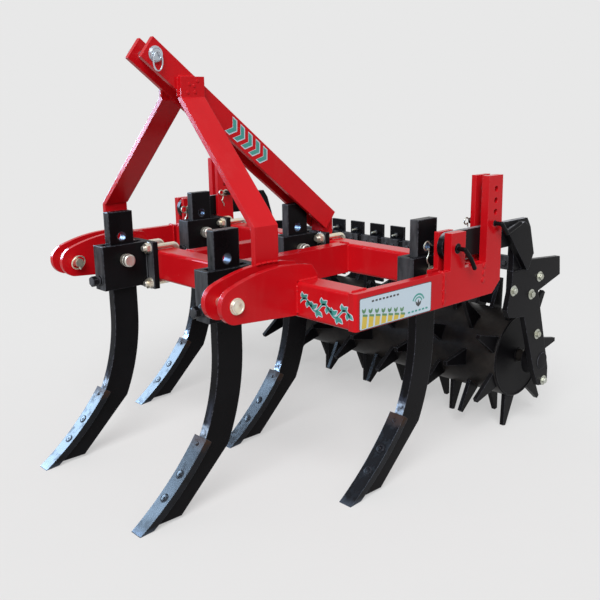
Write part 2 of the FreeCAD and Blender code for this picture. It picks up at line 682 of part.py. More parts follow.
def roller_drum():
    """A tube closed by end discs, with a stub shaft at each end."""
    end = drum_half()
    reach = ARM_OUTER_FACE
    y, z = ROLLER_Y, axle_z()
    tube = rod(DRUM_RADIUS, -end, end, y, z).cut(rod(DRUM_RADIUS - DRUM_WALL, -end + DRUM_WALL, end - DRUM_WALL, y, z))
    return fused([tube, rod(SHAFT / 2, end, reach, y, z), rod(SHAFT / 2, -reach, -end, y, z)])


def tooth(x, angle):
    """A tapered plate standing on the drum, pointing angle forwards of straight down."""
    root = DRUM_RADIUS * 0.95
    ring = [(-TOOTH_ROOT / 2, root), (-TOOTH_TIP / 2, TOOTH_RADIUS), (TOOTH_TIP / 2, TOOTH_RADIUS),
            (TOOTH_ROOT / 2, root)]
    points = []
    for side, radius in ring:
        y = ROLLER_Y - radius * math.sin(angle) + side * math.cos(angle)
        z = axle_z() - radius * math.cos(angle) - side * math.sin(angle)
        points.append((y, z))
    body = plate(points, x - TOOTH_PLATE / 2, x + TOOTH_PLATE / 2)
    return body.cut(rod(DRUM_RADIUS, x - TOOTH_PLATE, x + TOOTH_PLATE, ROLLER_Y, axle_z()))


def roller_teeth():
    """Rings of teeth along the drum, each ring turned half a step from its neighbours."""
    teeth = []
    for k in range(RING_COUNT):
        x = (k - (RING_COUNT - 1) / 2) * RING_PITCH
        start = PHASE if k % 2 == 0 else -PHASE
        for n in range(TEETH):
            teeth.append(tooth(x, start + 2 * math.pi * n / TEETH))
    return Part.makeCompound(teeth)


def stations():
    """Each shank's (x, row) from the machine's right to its left: outer ones on the rear beam."""
    places = (-REAR_SHANK_X, -FRONT_SHANK_X, 0.0, FRONT_SHANK_X, REAR_SHANK_X)
    rows = (REAR_FACE, 0.0, REAR_FACE, 0.0, REAR_FACE)
    return list(zip(places, rows))


os.makedirs("parts", exist_ok=True)
save("front_beam", cross_beam(0))
save("rear_beam", cross_beam(REAR_FACE))
save_pair("side_bar", side_bar())
save_pair("inner_bar", inner_bar())
save("mast_beam", mast_beam())
save("mast_foot", mast_foot())
save_pair("mast_leg", mast_leg())
save("top_link_pin", top_link_pin())
save_pair("hitch_clevis", hitch_clevis())
save_pair("hitch_pin", hitch_pin())
for number, (station_x, station_row) in enumerate(stations(), 1):
    save("shank_%d" % number, shank(station_x, station_row))
    save("shank_point_%d" % number, shank_point(station_x, station_row))
    save("shank_holder_%d" % number, shank_holder(station_x, station_row))
    fixings = [u_bolt(station_x + side * U_SPREAD / 2, station_row) for side in (-1, 1)]
    fixings.append(shank_bolt(station_x, station_row))
    save("shank_bolts_%d" % number, Part.makeCompound(fixings))
save_pair("tail_plates", tail_plates())
save_pair("tail_pins", tail_pins())
save_pair("roller_arm", roller_arm())
save_pair("arm_gusset", arm_gusset())
save_pair("roller_side_plate", side_plate())
save("scraper_bar", scraper_bar())
save("scrapers", scrapers())
save("roller_drum", roller_drum())
save("roller_teeth", roller_teeth())
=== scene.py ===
import json
import math

import bmesh
import bpy
from mathutils import Matrix, Vector


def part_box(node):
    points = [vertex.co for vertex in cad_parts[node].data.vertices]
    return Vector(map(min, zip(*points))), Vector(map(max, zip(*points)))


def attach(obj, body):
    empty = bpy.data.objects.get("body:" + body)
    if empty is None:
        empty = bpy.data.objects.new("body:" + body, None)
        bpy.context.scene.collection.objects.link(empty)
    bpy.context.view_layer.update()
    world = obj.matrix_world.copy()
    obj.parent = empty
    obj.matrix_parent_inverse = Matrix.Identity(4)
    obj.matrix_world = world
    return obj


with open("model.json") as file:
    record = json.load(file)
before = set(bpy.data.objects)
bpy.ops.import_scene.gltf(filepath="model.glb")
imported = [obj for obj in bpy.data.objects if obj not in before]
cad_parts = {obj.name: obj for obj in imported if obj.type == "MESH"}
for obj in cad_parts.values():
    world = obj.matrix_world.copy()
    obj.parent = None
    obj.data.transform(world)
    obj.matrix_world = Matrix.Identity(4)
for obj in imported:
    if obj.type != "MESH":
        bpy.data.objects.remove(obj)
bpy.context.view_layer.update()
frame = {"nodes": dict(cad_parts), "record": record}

record = frame["record"]
nodes = frame["nodes"]
print("frame loaded:", len(nodes), "nodes")

mm = 0.001
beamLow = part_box("front_beam")[0]
faceY, beamZ = beamLow[1], beamLow[2]  # the front beam's front face and underside


def at(x, y, z):  # millimetres from the front beam's face and underside
    return Vector((x * mm, faceY + y * mm, beamZ + z * mm))


def reach(node, axis):  # where a CAD piece starts and ends along x, y or z, in the same millimetres
    k = "xyz".index(axis)
    start = (0, faceY, beamZ)[k]
    return [(end[k] - start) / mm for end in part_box(node)]


sides = (("left", 1), ("right", -1))
inside, half = reach("side_bar_left", "x")  # a side bar's inner and outer face
beamDeep, beamTall = reach("front_beam", "y")[1], reach("front_beam", "z")[1]
rowGap = reach("rear_beam", "y")[0]  # from one beam's front face to the other's
tailStart = reach("side_bar_left", "y")[1]  # where the side bars end and the tail plates start
axleY, axleZ = sum(reach("roller_drum", "y")) / 2, sum(reach("roller_drum", "z")) / 2
shareTop = beamZ - 346 * mm  # the height of the shares' upper ends
mast = {"headY": -137, "headZ": 755, "slope": math.radians(38.1), "half": 42}


def onMast(u, v):  # a spot on the mast's side, down along its top edge and square to it, as y and z
    slope = mast["slope"]
    y = mast["headY"] + u * math.cos(slope) - v * math.sin(slope)
    return y, mast["headZ"] - u * math.sin(slope) - v * math.cos(slope)


view = {"place": (1.99771, -1.398805, 0.564), "yaw": 0.826035, "pitch": 0.243667, "roll": -0.014136,
        "lens": 47.081, "sensor": 36, "clip": (0.05, 200)}


def makeCamera():
    data = bpy.data.cameras.new("camera")
    data.lens = view["lens"]
    data.sensor_width = view["sensor"]
    data.clip_start, data.clip_end = view["clip"]
    camera = bpy.data.objects.new("camera", data)
    x, y, z = view["place"]
    turn = (Matrix.Rotation(view["yaw"], 4, "Z") @ Matrix.Rotation(math.pi / 2 - view["pitch"], 4, "X")
            @ Matrix.Rotation(view["roll"], 4, "Z"))
    camera.matrix_world = Matrix.Translation(Vector((x, faceY + y, beamZ + z))) @ turn
    bpy.context.scene.collection.objects.link(camera)
    bpy.context.scene.camera = camera


makeCamera()
bpy.context.scene.view_settings.view_transform = "Standard"


class Shade:  # one output of a node, which takes part in plain arithmetic
    def __init__(self, paint, socket):
        self.paint = paint
        self.socket = socket

    def maths(self, operation, *values):
        return self.paint.add("ShaderNodeMath", {"operation": operation}, dict(enumerate(values)))

    def __add__(self, other):
        return self.maths("ADD", self, other)

    def __radd__(self, other):
        return self.maths("ADD", other, self)

    def __sub__(self, other):
        return self.maths("SUBTRACT", self, other)

    def __rsub__(self, other):
        return self.maths("SUBTRACT", other, self)

    def __mul__(self, other):
        return self.maths("MULTIPLY", self, other)

    def __rmul__(self, other):
        return self.maths("MULTIPLY", other, self)

    def __pow__(self, other):
        return self.maths("POWER", self, other)

    def __rpow__(self, other):
        return self.maths("POWER", other, self)

    def orMore(self, other):  # the greater of the two
        return self.maths("MAXIMUM", self, other)


cornerLook = {"samples": 6, "band": (0.985, 0.80)}  # the band is the cosine of a normal's turn at a corner


class Paint:  # the nodes of one material, or of the world
    def __init__(self, name, world=False):
        self.owner = bpy.data.worlds.new(name) if world else bpy.data.materials.new(name)
        self.owner.use_nodes = True
        self.tree = self.owner.node_tree
        self.shader = self.tree.nodes["Background" if world else "Principled BSDF"]

    def add(self, kind, settings=None, sockets=None, output=0):
        node = self.tree.nodes.new(kind)
        for key, value in (settings or {}).items():
            setattr(node, key, value)
        for key, value in (sockets or {}).items():
            self.feed(node.inputs[key], value)
        return Shade(self, node.outputs[output])

    def feed(self, socket, value):
        if isinstance(value, Shade):
            self.tree.links.new(value.socket, socket)
        else:
            socket.default_value = value

    def surface(self, **values):  # sockets of the last shader, with spaces written as _
        for key, value in values.items():
            self.feed(self.shader.inputs[key.replace("_", " ")], value)

    def place(self):
        return self.add("ShaderNodeTexCoord", output="Object")

    def along(self, axis):  # where the surface is along X, Y or Z, in metres
        return self.add("ShaderNodeSeparateXYZ", None, {0: self.place()}, axis)

    def facing(self, axis):  # how far the surface faces along X, Y or Z, from -1 to 1
        flat = self.add("ShaderNodeNewGeometry", output="Normal")
        return self.add("ShaderNodeSeparateXYZ", None, {0: flat}, axis)

    def noise(self, scale, detail, roughness=0.55, stretch=None):
        where = self.place()
        if stretch:
            where = self.add("ShaderNodeVectorMath", {"operation": "MULTIPLY"}, {0: where, 1: stretch})
        sockets = {"Vector": where, "Scale": scale, "Detail": detail, "Roughness": roughness}
        return self.add("ShaderNodeTexNoise", None, sockets, "Fac")

    def ramp(self, value, low, high, bottom=0.0, top=1.0):
        return self.add("ShaderNodeMapRange", {"clamp": True},
                        {"Value": value, "From Min": low, "From Max": high, "To Min": bottom, "To Max": top})

    def patches(self, band, *noise):  # noise with the part inside the band drawn out to 0 and 1
        return self.ramp(self.noise(*noise), *band)

    def mix(self, factor, first, second):
        return self.add("ShaderNodeMix", {"data_type": "RGBA"}, {0: factor, 6: first, 7: second}, 2)

    def softEdge(self, radius):  # the normal with sharp corners rounded over
        return self.add("ShaderNodeBevel", {"samples": cornerLook["samples"]}, {"Radius": radius})

    def edgeMask(self, rounded):  # 0 on flats and towards 1 on corners
        flat = self.add("ShaderNodeNewGeometry", output="Normal")
        same = self.add("ShaderNodeVectorMath", {"operation": "DOT_PRODUCT"}, {0: rounded, 1: flat}, "Value")
        return self.ramp(same, *cornerLook["band"])

    def bump(self, height, distance, strength, normal=None):
        sockets = {"Height": height, "Distance": distance, "Strength": strength}
        if normal:
            sockets["Normal"] = normal
        return self.add("ShaderNodeBump", None, sockets)


# in a look, patches are given as their band and then their noise's scale, detail, roughness and stretch
def redEnamel():
    # the edge colour is a painted highlight for corners, paler pink as if they caught the light
    look = {"tone": (0.60, 0.0065, 0.012, 1), "deep": (0.46, 0.0045, 0.008, 1), "edge": (0.80, 0.10, 0.13, 1),
            "dust": (0.60, 0.30, 0.28, 1), "cloudy": ((0.32, 0.70), 3.2, 5), "speck": ((0.66, 0.78), 95, 3),
            "run": ((0.55, 0.85), 14, 6, 0.6, (1, 1, 0.25)), "peel": (260, 2, 0.5), "rolled": (34, 4, 0.6),
            "corner": 0.0022, "rough": 0.20, "relief": 0.00030, "gloss": 0.13}
    paint = Paint("redEnamel")
    cloudy, speck, run = [paint.patches(*look[key]) for key in ("cloudy", "speck", "run")]
    rounded = paint.softEdge(look["corner"])
    edge = paint.edgeMask(rounded)
    tone = paint.mix(cloudy * 0.55, look["tone"], look["deep"])
    # painted highlight: corners are painted the paler edge colour
    tone = paint.mix(edge * (0.35 + 0.4 * speck), tone, look["edge"])
    tone = paint.mix(run * 0.05 + speck * 0.04, tone, look["dust"])
    relief = paint.noise(*look["peel"]) * 0.08 + paint.noise(*look["rolled"])
    paint.surface(Base_Color=tone, Roughness=look["rough"] + run * 0.12 + speck * 0.10,
                  Normal=paint.bump(relief, look["relief"], 0.5, rounded), Specular_IOR_Level=look["gloss"])
    return paint.owner


def blackEnamel(name, rough, corner, wearAndSheen=None):
    look = {"tone": (0.0035, 0.0032, 0.0038, 1), "grey": (0.010, 0.0098, 0.012, 1),
            # the edge colour is a painted highlight for corners, and the dust colour is a painted sheen for
            # front faces
            "edge": (0.15, 0.155, 0.19, 1), "dust": (0.088, 0.092, 0.102, 1),
            # the bare colour is rubbed metal with a painted cool highlight, and the slate colour is a painted
            # cool reflection
            "bare": (0.42, 0.52, 0.66, 1), "coolSheen": (0.050, 0.060, 0.090, 1),
            "glint": (0.34, 0.35, 0.39, 1), "soil": (0.034, 0.030, 0.027, 1),
            "cloudy": ((0.35, 0.72), 5.5, 6), "pits": ((0.58, 0.70), 55, 5, 0.65), "grain": (130, 4, 0.6),
            "frontSheen": ((0.30, 0.62), 34, 5, 0.6, (1, 1, 0.25)), "glintPatches": ((0.30, 0.60), 30, 4),
            "film": ((0.36, 0.66), 6.5, 6, 0.65), "rubbedAndHighlight": ((0.36, 0.56), 70, 4),
            "streaks": ((0.44, 0.62), 40, 5, 0.6, (1, 1, 0.3)), "ragged": (60, 3), "sheenHeightBand": (0.04, 0.07),
            "bareAndHighlightBand": (0.034, 0.022), "coolSheenBand": (0.120, 0.030), "grainBand": (0.35, 0.7),
            "frontBand": (-0.55, -0.80), "topBand": (0.60, 0.85), "endBand": (0.8, 0.4),
            "relief": 0.0005, "gloss": 0.075}
    paint = Paint(name)
    cloudy, pits = paint.patches(*look["cloudy"]), paint.patches(*look["pits"])
    rounded = paint.softEdge(corner)
    edge = paint.edgeMask(rounded)
    grain = paint.noise(*look["grain"])
    tone = paint.mix(cloudy * 0.6, look["tone"], look["grey"])
    # painted highlight: corners are painted the pale blue-grey edge colour
    tone = paint.mix(edge * paint.ramp(grain, *look["grainBand"]), tone, look["edge"])
    metal = 0.0
    if wearAndSheen in ("front", "shank"):  # painted sheen: front-facing faces are painted a paler grey in patches
        z = paint.along("Z")
        front = paint.ramp(paint.facing("Y"), *look["frontBand"])
        frontSheen = front * paint.patches(*look["frontSheen"]) * 0.85
        if wearAndSheen == "shank":  # above the beam only
            frontSheen = frontSheen * paint.ramp(z - beamZ, *look["sheenHeightBand"])
        tone = paint.mix(frontSheen, tone, look["dust"])
    if wearAndSheen == "top":  # painted highlight: upper faces are painted a pale glint in patches
        topGlint = paint.ramp(paint.facing("Z"), *look["topBand"]) * paint.patches(*look["glintPatches"])
        tone = paint.mix(topGlint, tone, look["glint"])
    if wearAndSheen == "soil":  # a thin film of dry soil, but not on the ends
        side = paint.facing("X")
        film = paint.patches(*look["film"]) * 0.8 + 0.1
        tone = paint.mix(film * paint.ramp(side * side, *look["endBand"]), tone, look["soil"])
    if wearAndSheen == "shank":  # rubbed bare where its share ends, with a painted cool highlight on that band and painted cool reflections in streaks above it
        up = z - shareTop + paint.noise(*look["ragged"]) * 0.02 - 0.010
        bare = front * paint.ramp(up, *look["bareAndHighlightBand"]) * paint.patches(*look["rubbedAndHighlight"])
        coolSheen = front * paint.ramp(up, *look["coolSheenBand"]) * paint.patches(*look["streaks"])
        tone = paint.mix(bare, paint.mix(coolSheen, tone, look["coolSheen"]), look["bare"])
        metal = bare * 0.6
    paint.surface(Base_Color=tone, Roughness=rough + cloudy * 0.14 + pits * 0.08, Metallic=metal,
                  Normal=paint.bump(grain * 0.5 + pits * 0.4, look["relief"], 0.55, rounded),
                  Specular_IOR_Level=look["gloss"])
    return paint.owner


def pointSteel():
    look = {"tone": (0.006, 0.007, 0.010, 1), "dark": (0.003, 0.003, 0.004, 1), "bare": (0.22, 0.28, 0.38, 1),
            "burnt": (0.040, 0.020, 0.012, 1), "streak": ((0.42, 0.66), 26, 6, 0.65, (1.6, 0.35, 0.35)),
            "patch": ((0.50, 0.64), 30, 4, 0.6), "ragged": (48, 3, 0.6), "grain": (150, 4, 0.6),
            "burntBand": (-0.036, -0.008), "tipBand": (0.016, 0.002),
            "corner": 0.0018, "rough": 0.18, "relief": 0.00014, "gloss": 0.17}
    paint = Paint("pointSteel")
    z = paint.along("Z")
    rounded = paint.softEdge(look["corner"])
    edge = paint.edgeMask(rounded)
    streak, patch = paint.patches(*look["streak"]), paint.patches(*look["patch"])
    ragged = paint.noise(*look["ragged"]) * 0.03 - 0.015
    burnt = paint.ramp(z - shareTop + ragged, *look["burntBand"])
    worn = paint.ramp(z + ragged * 0.5, *look["tipBand"])
    tone = paint.mix(patch, look["tone"], look["dark"])
    tone = paint.mix(burnt, tone, look["burnt"])
    tone = paint.mix((edge * 0.35).orMore(worn * 0.20), tone, look["bare"])
    relief = paint.noise(*look["grain"]) * 0.3 + patch * 0.7
    paint.surface(Base_Color=tone, Roughness=look["rough"] + patch * 0.20 + streak * 0.12 + burnt * 0.35,
                  Metallic=(edge * 0.3).orMore(worn * 0.2), Specular_IOR_Level=look["gloss"],
                  Normal=paint.bump(relief, look["relief"], 0.4, rounded))
    return paint.owner


def zincPlate(name, tone, warm, rough):
    look = {"grimeTone": (0.20, 0.18, 0.15, 1), "grime": ((0.60, 0.74), 90, 3),
            "cloudy": ((0.35, 0.68), 38, 5), "scratch": ((0.5, 0.75), 60, 5, 0.7, (1, 7, 7)),
            "grain": (210, 2), "corner": 0.0010, "relief": 0.00012}
    paint = Paint(name)
    cloudy, scratch, grime = [paint.patches(*look[key]) for key in ("cloudy", "scratch", "grime")]
    rounded = paint.softEdge(look["corner"])
    colour = paint.mix(cloudy, tone, warm)
    colour = paint.mix(grime * 0.45, colour, look["grimeTone"])
    relief = scratch + paint.noise(*look["grain"])
    paint.surface(Base_Color=colour, Roughness=rough + cloudy * 0.12 + grime * 0.2,
                  Metallic=0.9 - grime * 0.3, Normal=paint.bump(relief, look["relief"], 0.6, rounded))
    return paint.owner


red, steel = redEnamel(), pointSteel()
black = blackEnamel("blackEnamel", 0.27, 0.0026)
castBlack = blackEnamel("castBlack", 0.36, 0.0045, "front")
shankBlack = blackEnamel("shankBlack", 0.24, 0.0055, "shank")
armBlack = blackEnamel("armBlack", 0.24, 0.0030, "top")
drumBlack = blackEnamel("drumBlack", 0.34, 0.0026, "soil")
zinc = zincPlate("zincPlate", (0.80, 0.77, 0.69, 1), (0.82, 0.72, 0.52, 1), 0.30)
brightWire = zincPlate("brightWire", (0.60, 0.66, 0.72, 1), (0.44, 0.48, 0.54, 1), 0.22)
dullZinc = zincPlate("dullZinc", (0.50, 0.52, 0.47, 1), (0.42, 0.42, 0.34, 1), 0.34)
paleZinc = zincPlate("paleZinc", (0.66, 0.66, 0.64, 1), (0.66, 0.62, 0.54, 1), 0.32)
holeSteel = zincPlate("holeSteel", (0.10, 0.13, 0.18, 1), (0.05, 0.06, 0.08, 1), 0.35)
paints = {"frame_red": red, "tool_black": black, "share_steel": steel, "zinc_plate": zinc}
special = {"shank_holder": castBlack, "shank": shankBlack, "roller_arm": armBlack, "arm_gusset": armBlack,
           "roller_drum": drumBlack, "top_link_pin": brightWire}
slotOf = {part["node"]: part["material_slot"] for part in record["subparts"]}
for name, piece in nodes.items():
    stem = name if name in special else name.rpartition("_")[0]
    for place in piece.material_slots:
        place.material = special.get(stem, paints[slotOf[name]])
print("paints made:", len(bpy.data.materials))


def newPiece(name, mesh, paint, body, smooth=None):  # smooth is the bend, in degrees, that stays sharp
    mesh.normal_update()
    data = bpy.data.meshes.new(name)
    mesh.to_mesh(data)
    mesh.free()
    data.materials.append(paint)
    piece = bpy.data.objects.new(name, data)
    bpy.context.scene.collection.objects.link(piece)
    if smooth:
        data.shade_smooth()
        data.set_sharp_from_angle(angle=math.radians(smooth))
    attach(piece, body)


def circle(count):  # the turns of so many points around a circle
    return [2 * math.pi * k / count for k in range(count)]


def skin(mesh, first, second):  # faces between two rings of the same count
    for k in range(len(first)):
        n = (k + 1) % len(first)
        mesh.faces.new((first[k], first[n], second[n], second[k]))


def axesTo(direction):  # a direction and two square to it
    along = Vector(direction).normalized()
    side = Vector((0, 0, 1) if abs(along.z) < 0.9 else (0, 1, 0))
    across = along.cross(side).normalized()
    return along, across, across.cross(along).normalized()


def sweep(mesh, points, radii, sides, closed=False):
    # a round bar through the points; the radius may change from point to point
    points = [Vector(p) for p in points]
    count = len(points)
    if not isinstance(radii, list):
        radii = [radii] * count
    rings = []
    last = None
    for k, point in enumerate(points):
        before = points[k - 1] if k or closed else point
        after = points[(k + 1) % count] if k < count - 1 or closed else point
        along = (after - before).normalized()
        if last is None:
            along, across, up = axesTo(along)
        else:
            across = (last - along * last.dot(along)).normalized()
            up = across.cross(along).normalized()
        last = across
        rings.append([mesh.verts.new(point + radii[k] * (math.cos(turn) * across + math.sin(turn) * up))
                      for turn in circle(sides)])
    for first, second in zip(rings, rings[1:]):
        skin(mesh, first, second)
    if closed:
        skin(mesh, rings[-1], rings[0])
    else:
        mesh.faces.new(list(reversed(rings[0])))
        mesh.faces.new(rings[-1])


def lathe(mesh, centre, direction, profile, sides, turned=0.0):
    # a turned piece: profile is (distance along, radius) from the seat outwards
    along, across, up = axesTo(direction)
    rings = []
    for distance, radius in profile:
        middle = Vector(centre) + along * distance
        rings.append([mesh.verts.new(middle + radius * (math.cos(turned + turn) * across
                                                        + math.sin(turned + turn) * up))
                      for turn in circle(sides)])
    for first, second in zip(rings, rings[1:]):
        skin(mesh, first, second)
    mesh.faces.new(list(reversed(rings[0])))
    mesh.faces.new(rings[-1])


def disc(mesh, centre, direction, size, sides):
    # a washer, or a nut with six sides; size is its radius, its rim, its full height and the chamfer's radius
    radius, rim, height, top = size
    lathe(mesh, centre, direction, [(0, radius), (rim, radius), (height, top)], sides)


hexShape = {"washer": [(0, 0.92), (0.09, 0.92), (0.11, 0.86)],  # in shares of the size across flats
            "head": [(0, 0.99), (0.82, 1), (1, 0.84)]}  # in shares of the height and the corners' radius


def hexBolt(mesh, seat, direction, flats, height, turned):  # a washer and a chamfered hexagon head
    washer = [(flats * distance, flats * radius) for distance, radius in hexShape["washer"]]
    corner = flats / math.sqrt(3)
    head = [(height * distance, corner * radius) for distance, radius in hexShape["head"]]
    lathe(mesh, seat, direction, washer, 28)
    lathe(mesh, seat + Vector(direction).normalized() * washer[-1][0], direction, head, 6, turned)


threadShape = {"crest": (0.35, 1.07), "root": (0.85, 0.99), "tip": (0.0006, 0.86)}  # where, and how wide


def threads(mesh, centre, direction, length, radius, pitch=0.0025):  # the threaded end of a bolt
    count = int(length / pitch)
    profile = [(0, radius)]
    for k in range(count):
        for share, swell in (threadShape["crest"], threadShape["root"]):
            profile.append(((k + share) * length / count, radius * swell))
    beyond, taper = threadShape["tip"]
    profile.append((length + beyond, radius * taper))
    lathe(mesh, centre, direction, profile, 14)


bead = {"pitch": 0.0052, "wave": 0.22, "tip": 0.35, "taper": 200, "drift": 0.08, "sides": 8}


def weldBead(mesh, start, end, radius):  # a run of weld with ripples, its ends rounded off
    length = (end - start).length
    count = max(6, int(length / bead["pitch"]) * 2)
    points, radii = [], []
    for k in range(count + 1):
        s = k / count
        points.append(start.lerp(end, s))
        tip = min(1.0, bead["tip"] + bead["taper"] * min(s, 1 - s) * length)
        swing = 519 * s * length + 40 * start.x + 31 * start.z  # so that no two runs look alike
        radii.append(radius * tip * (1 + bead["drift"] * math.sin(swing)) * (1 - bead["wave"] * (k % 2)))
    sweep(mesh, points, radii, bead["sides"])


def weldRuns(name, runs, paint, body, radius):
    mesh = bmesh.new()
    for start, end in runs:
        weldBead(mesh, start, end, radius)
    newPiece(name, mesh, paint, body, smooth=50)


def upright(x, y, low, high):  # a run that goes up
    return at(x, y, low), at(x, y, high)


def lengthways(x, z, front, back):  # a run from front to back
    return at(x, front, z), at(x, back, z)


def crossways(y, z, inner, outer):  # a run across the plough
    return at(inner, y, z), at(outer, y, z)


frameWeld = {"lift": 0.5, "beam": 0.0042, "hitch": 0.0048, "tail": 0.0050}  # the lift off a face, and radii
beamRun = {"end": 12, "cornerRun": (6, 94), "braceRun": (4, 98), "braceTop": 6, "braceEnd": 2}
braceSides = reach("inner_bar_left", "x")


def beamWelds(s):  # the two beams on the side bars and on the inner bars
    lift, end = frameWeld["lift"], beamRun["end"]
    wall = s * (inside - lift)
    runs = [lengthways(wall, beamTall, y + end, y + beamDeep - end) for y in (0, rowGap)]
    runs.append(upright(wall, beamDeep + lift, *beamRun["cornerRun"]))
    for x in braceSides:
        runs.append(upright(s * x, beamDeep + lift, *beamRun["braceRun"]))
        runs.append(upright(s * x, rowGap - lift, *beamRun["braceRun"]))
    inner, outer = s * (braceSides[0] + beamRun["braceEnd"]), s * (braceSides[1] - beamRun["braceEnd"])
    for y in (beamDeep - beamRun["braceTop"], rowGap + beamRun["braceTop"]):
        runs.append(crossways(y, beamTall, inner, outer))
    return runs


hitch = {"plates": (385, 401, 454, 470), "crown": ((-225, 117), (-52, 150), (56, 140)),
         "frontRun": (10, 92), "topRun": (8, 76), "legFrom": -86, "legStep": 20, "legSteps": 4,
         "headFront": -63, "headFrom": 590, "headTopEnd": -3, "headBackTop": 631}


def circleThrough(a, b, c):  # centre and radius in the (y, z) plane
    ax, ay, bx, by, cx, cy = *a, *b, *c
    aa, bb, cc = ax * ax + ay * ay, bx * bx + by * by, cx * cx + cy * cy
    d = 2 * (ax * (by - cy) + bx * (cy - ay) + cx * (ay - by))
    y = (aa * (by - cy) + bb * (cy - ay) + cc * (ay - by)) / d
    z = (aa * (cx - bx) + bb * (ax - cx) + cc * (bx - ax)) / d
    return y, z, math.hypot(ax - y, ay - z)


crown = circleThrough(*hitch["crown"])


def crownHeight(y):  # the curved top edge of a hitch plate
    return crown[1] + math.sqrt(crown[2] ** 2 - (y - crown[0]) ** 2)


def hitchWelds(s):  # the hitch plates on the front beam, the mast's legs on them, and its head
    lift = frameWeld["lift"]
    runs = []
    for x in hitch["plates"]:
        runs.append(upright(s * x, -lift, *hitch["frontRun"]))
        runs.append(lengthways(s * x, beamTall + lift, *hitch["topRun"]))
    for x in hitch["plates"][:2]:
        for k in range(hitch["legSteps"]):
            front, back = (hitch["legFrom"] + hitch["legStep"] * n for n in (k, k + 1))
            runs.append((at(s * x, front, crownHeight(front)), at(s * x, back, crownHeight(back))))
    wall, front, low = s * (mast["half"] + 1), hitch["headFront"], hitch["headFrom"]
    back, top = reach("mast_leg_left", "y")[1], reach("mast_leg_left", "z")[1]
    runs.append(upright(wall, front - lift, low, top))
    runs.append(lengthways(wall, top + lift, front + 1, hitch["headTopEnd"]))
    runs.append(upright(wall, back + lift, low, hitch["headBackTop"]))
    return runs


tail = {"inner": (625, 641), "outerRun": (4, 97), "innerRun": (2, 98), "cornerRun": (6, 94),
        "frontRun": (8, 96), "topRun": (42, 76), "pins": ((424, 161, 0.015), (604, 214, 0.009))}


def tailWelds(s):  # the tail plates on the side bars and on the rear beam
    lift = frameWeld["lift"]
    topFront, topBack = (rowGap + end for end in tail["topRun"])
    runs = [upright(s * (half - 0.4), tailStart, *tail["outerRun"]),
            crossways(tailStart, beamTall, s * (half - 3), s * (inside + 3)),
            upright(s * inside, tailStart, *tail["innerRun"]),
            upright(s * (inside - lift), rowGap + beamDeep + lift, *tail["cornerRun"])]
    for x in tail["inner"]:
        runs.append(upright(s * x, rowGap - lift, *tail["frontRun"]))
        runs.append(lengthways(s * x, beamTall + lift, topFront, topBack))
    return runs


def footWelds():  # around the mast's foot on the rear beam
    out = reach("mast_foot", "x")[1]
    front, back = reach("mast_foot", "y")
    z = beamTall + frameWeld["lift"]
    return [crossways(front, z, -out, out), crossways(back, z, -out, out),
            lengthways(out, z, front, back), lengthways(-out, z, front, back)]


spots = {"big": [(0, 0.0085), (0.0016, 0.0078), (0.0024, 0.0050), (0.0020, 0.0015)],
         "small": [(0, 0.0058), (0.0012, 0.0052), (0.0018, 0.0034), (0.0015, 0.001)],
         "bar": ((tailStart + 1, 18), (tailStart + 1, 46), (tailStart + 1, 72), (tailStart + 1, 96),
                 (558, 92), (556, 70), (554, 48)),
         "head": ((-33, 627), (-4, 636), (-40, 603), (-14, 604), (-17, 622)), "headFace": 15.8}


def spotWelds():  # dabs of weld on the tail plates' outer faces and on the mast's head
    mesh = bmesh.new()
    headFace = reach("mast_leg_left", "x")[0] + spots["headFace"]
    for s in (-1, 1):
        for y, z in spots["bar"]:
            lathe(mesh, at(s * (half - 0.2), y, z), (s, 0, 0), spots["big"], 14)
        for y, z in spots["head"]:
            lathe(mesh, at(s * headFace, y, z), (s, 0, 0), spots["small"], 12)
    newPiece("spot_welds", mesh, red, "frame", smooth=60)


for side, s in sides:
    for name, runs in (("beam", beamWelds(s)), ("hitch", hitchWelds(s)), ("tail", tailWelds(s))):
        weldRuns(name + "_welds_" + side, runs, red, "frame", frameWeld[name])
weldRuns("foot_welds", footWelds(), red, "frame", frameWeld["beam"])
spotWelds()
print("frame welds made")


stud = {"out": 46, "heights": (-10, 110), "plate": 20, "nut": 36,  # the last two are ahead of the row
        "washer": (0.0195, 0.0026, 0.0032, 0.0182), "thread": (0.0098, 0.0090)}
crossBolt = {"ahead": 102, "height": 79, "headSide": 46, "endSide": -46, "thread": (0.0098, 0.0110),
             "discs": ((46, (0.0215, 0.0035, 0.0040, 0.0205), 28),  # two washers and the nut
                       (-30, (0.0225, 0.0030, 0.0035, 0.0210), 28),
                       (-33, (0.0185, 0.0120, 0.0130, 0.0165), 6)),
             "head": [(0, 0.0203), (0.0125, 0.0203), (0.0152, 0.0178), (0.0158, 0.0160), (0.0153, 0.0140),
                      (0.0153, 0.0010)]}  # flat and round, with a shallow forged dish


def holderFixings(number, x, row):
    mesh = bmesh.new()
    forwards = (0, -1, 0)
    for s in (-1, 1):
        for z in stud["heights"]:
            disc(mesh, at(x + s * stud["out"], row - stud["plate"], z), forwards, stud["washer"], 24)
            threads(mesh, at(x + s * stud["out"], row - stud["nut"], z), forwards, *stud["thread"])
    y, z = row - crossBolt["ahead"], crossBolt["height"]
    for side, size, edges in crossBolt["discs"]:
        disc(mesh, at(x + side, y, z), (-1, 0, 0), size, edges)
    lathe(mesh, at(x + crossBolt["headSide"], y, z), (1, 0, 0), crossBolt["head"], 32)
    threads(mesh, at(x + crossBolt["endSide"], y, z), (-1, 0, 0), *crossBolt["thread"])
    newPiece("holder_fixings_%d" % number, mesh, paleZinc, "frame", smooth=35)


cheekWeld = {"out": 30.5, "ahead": 20.5, "low": -12, "high": 126, "radius": 0.0046}


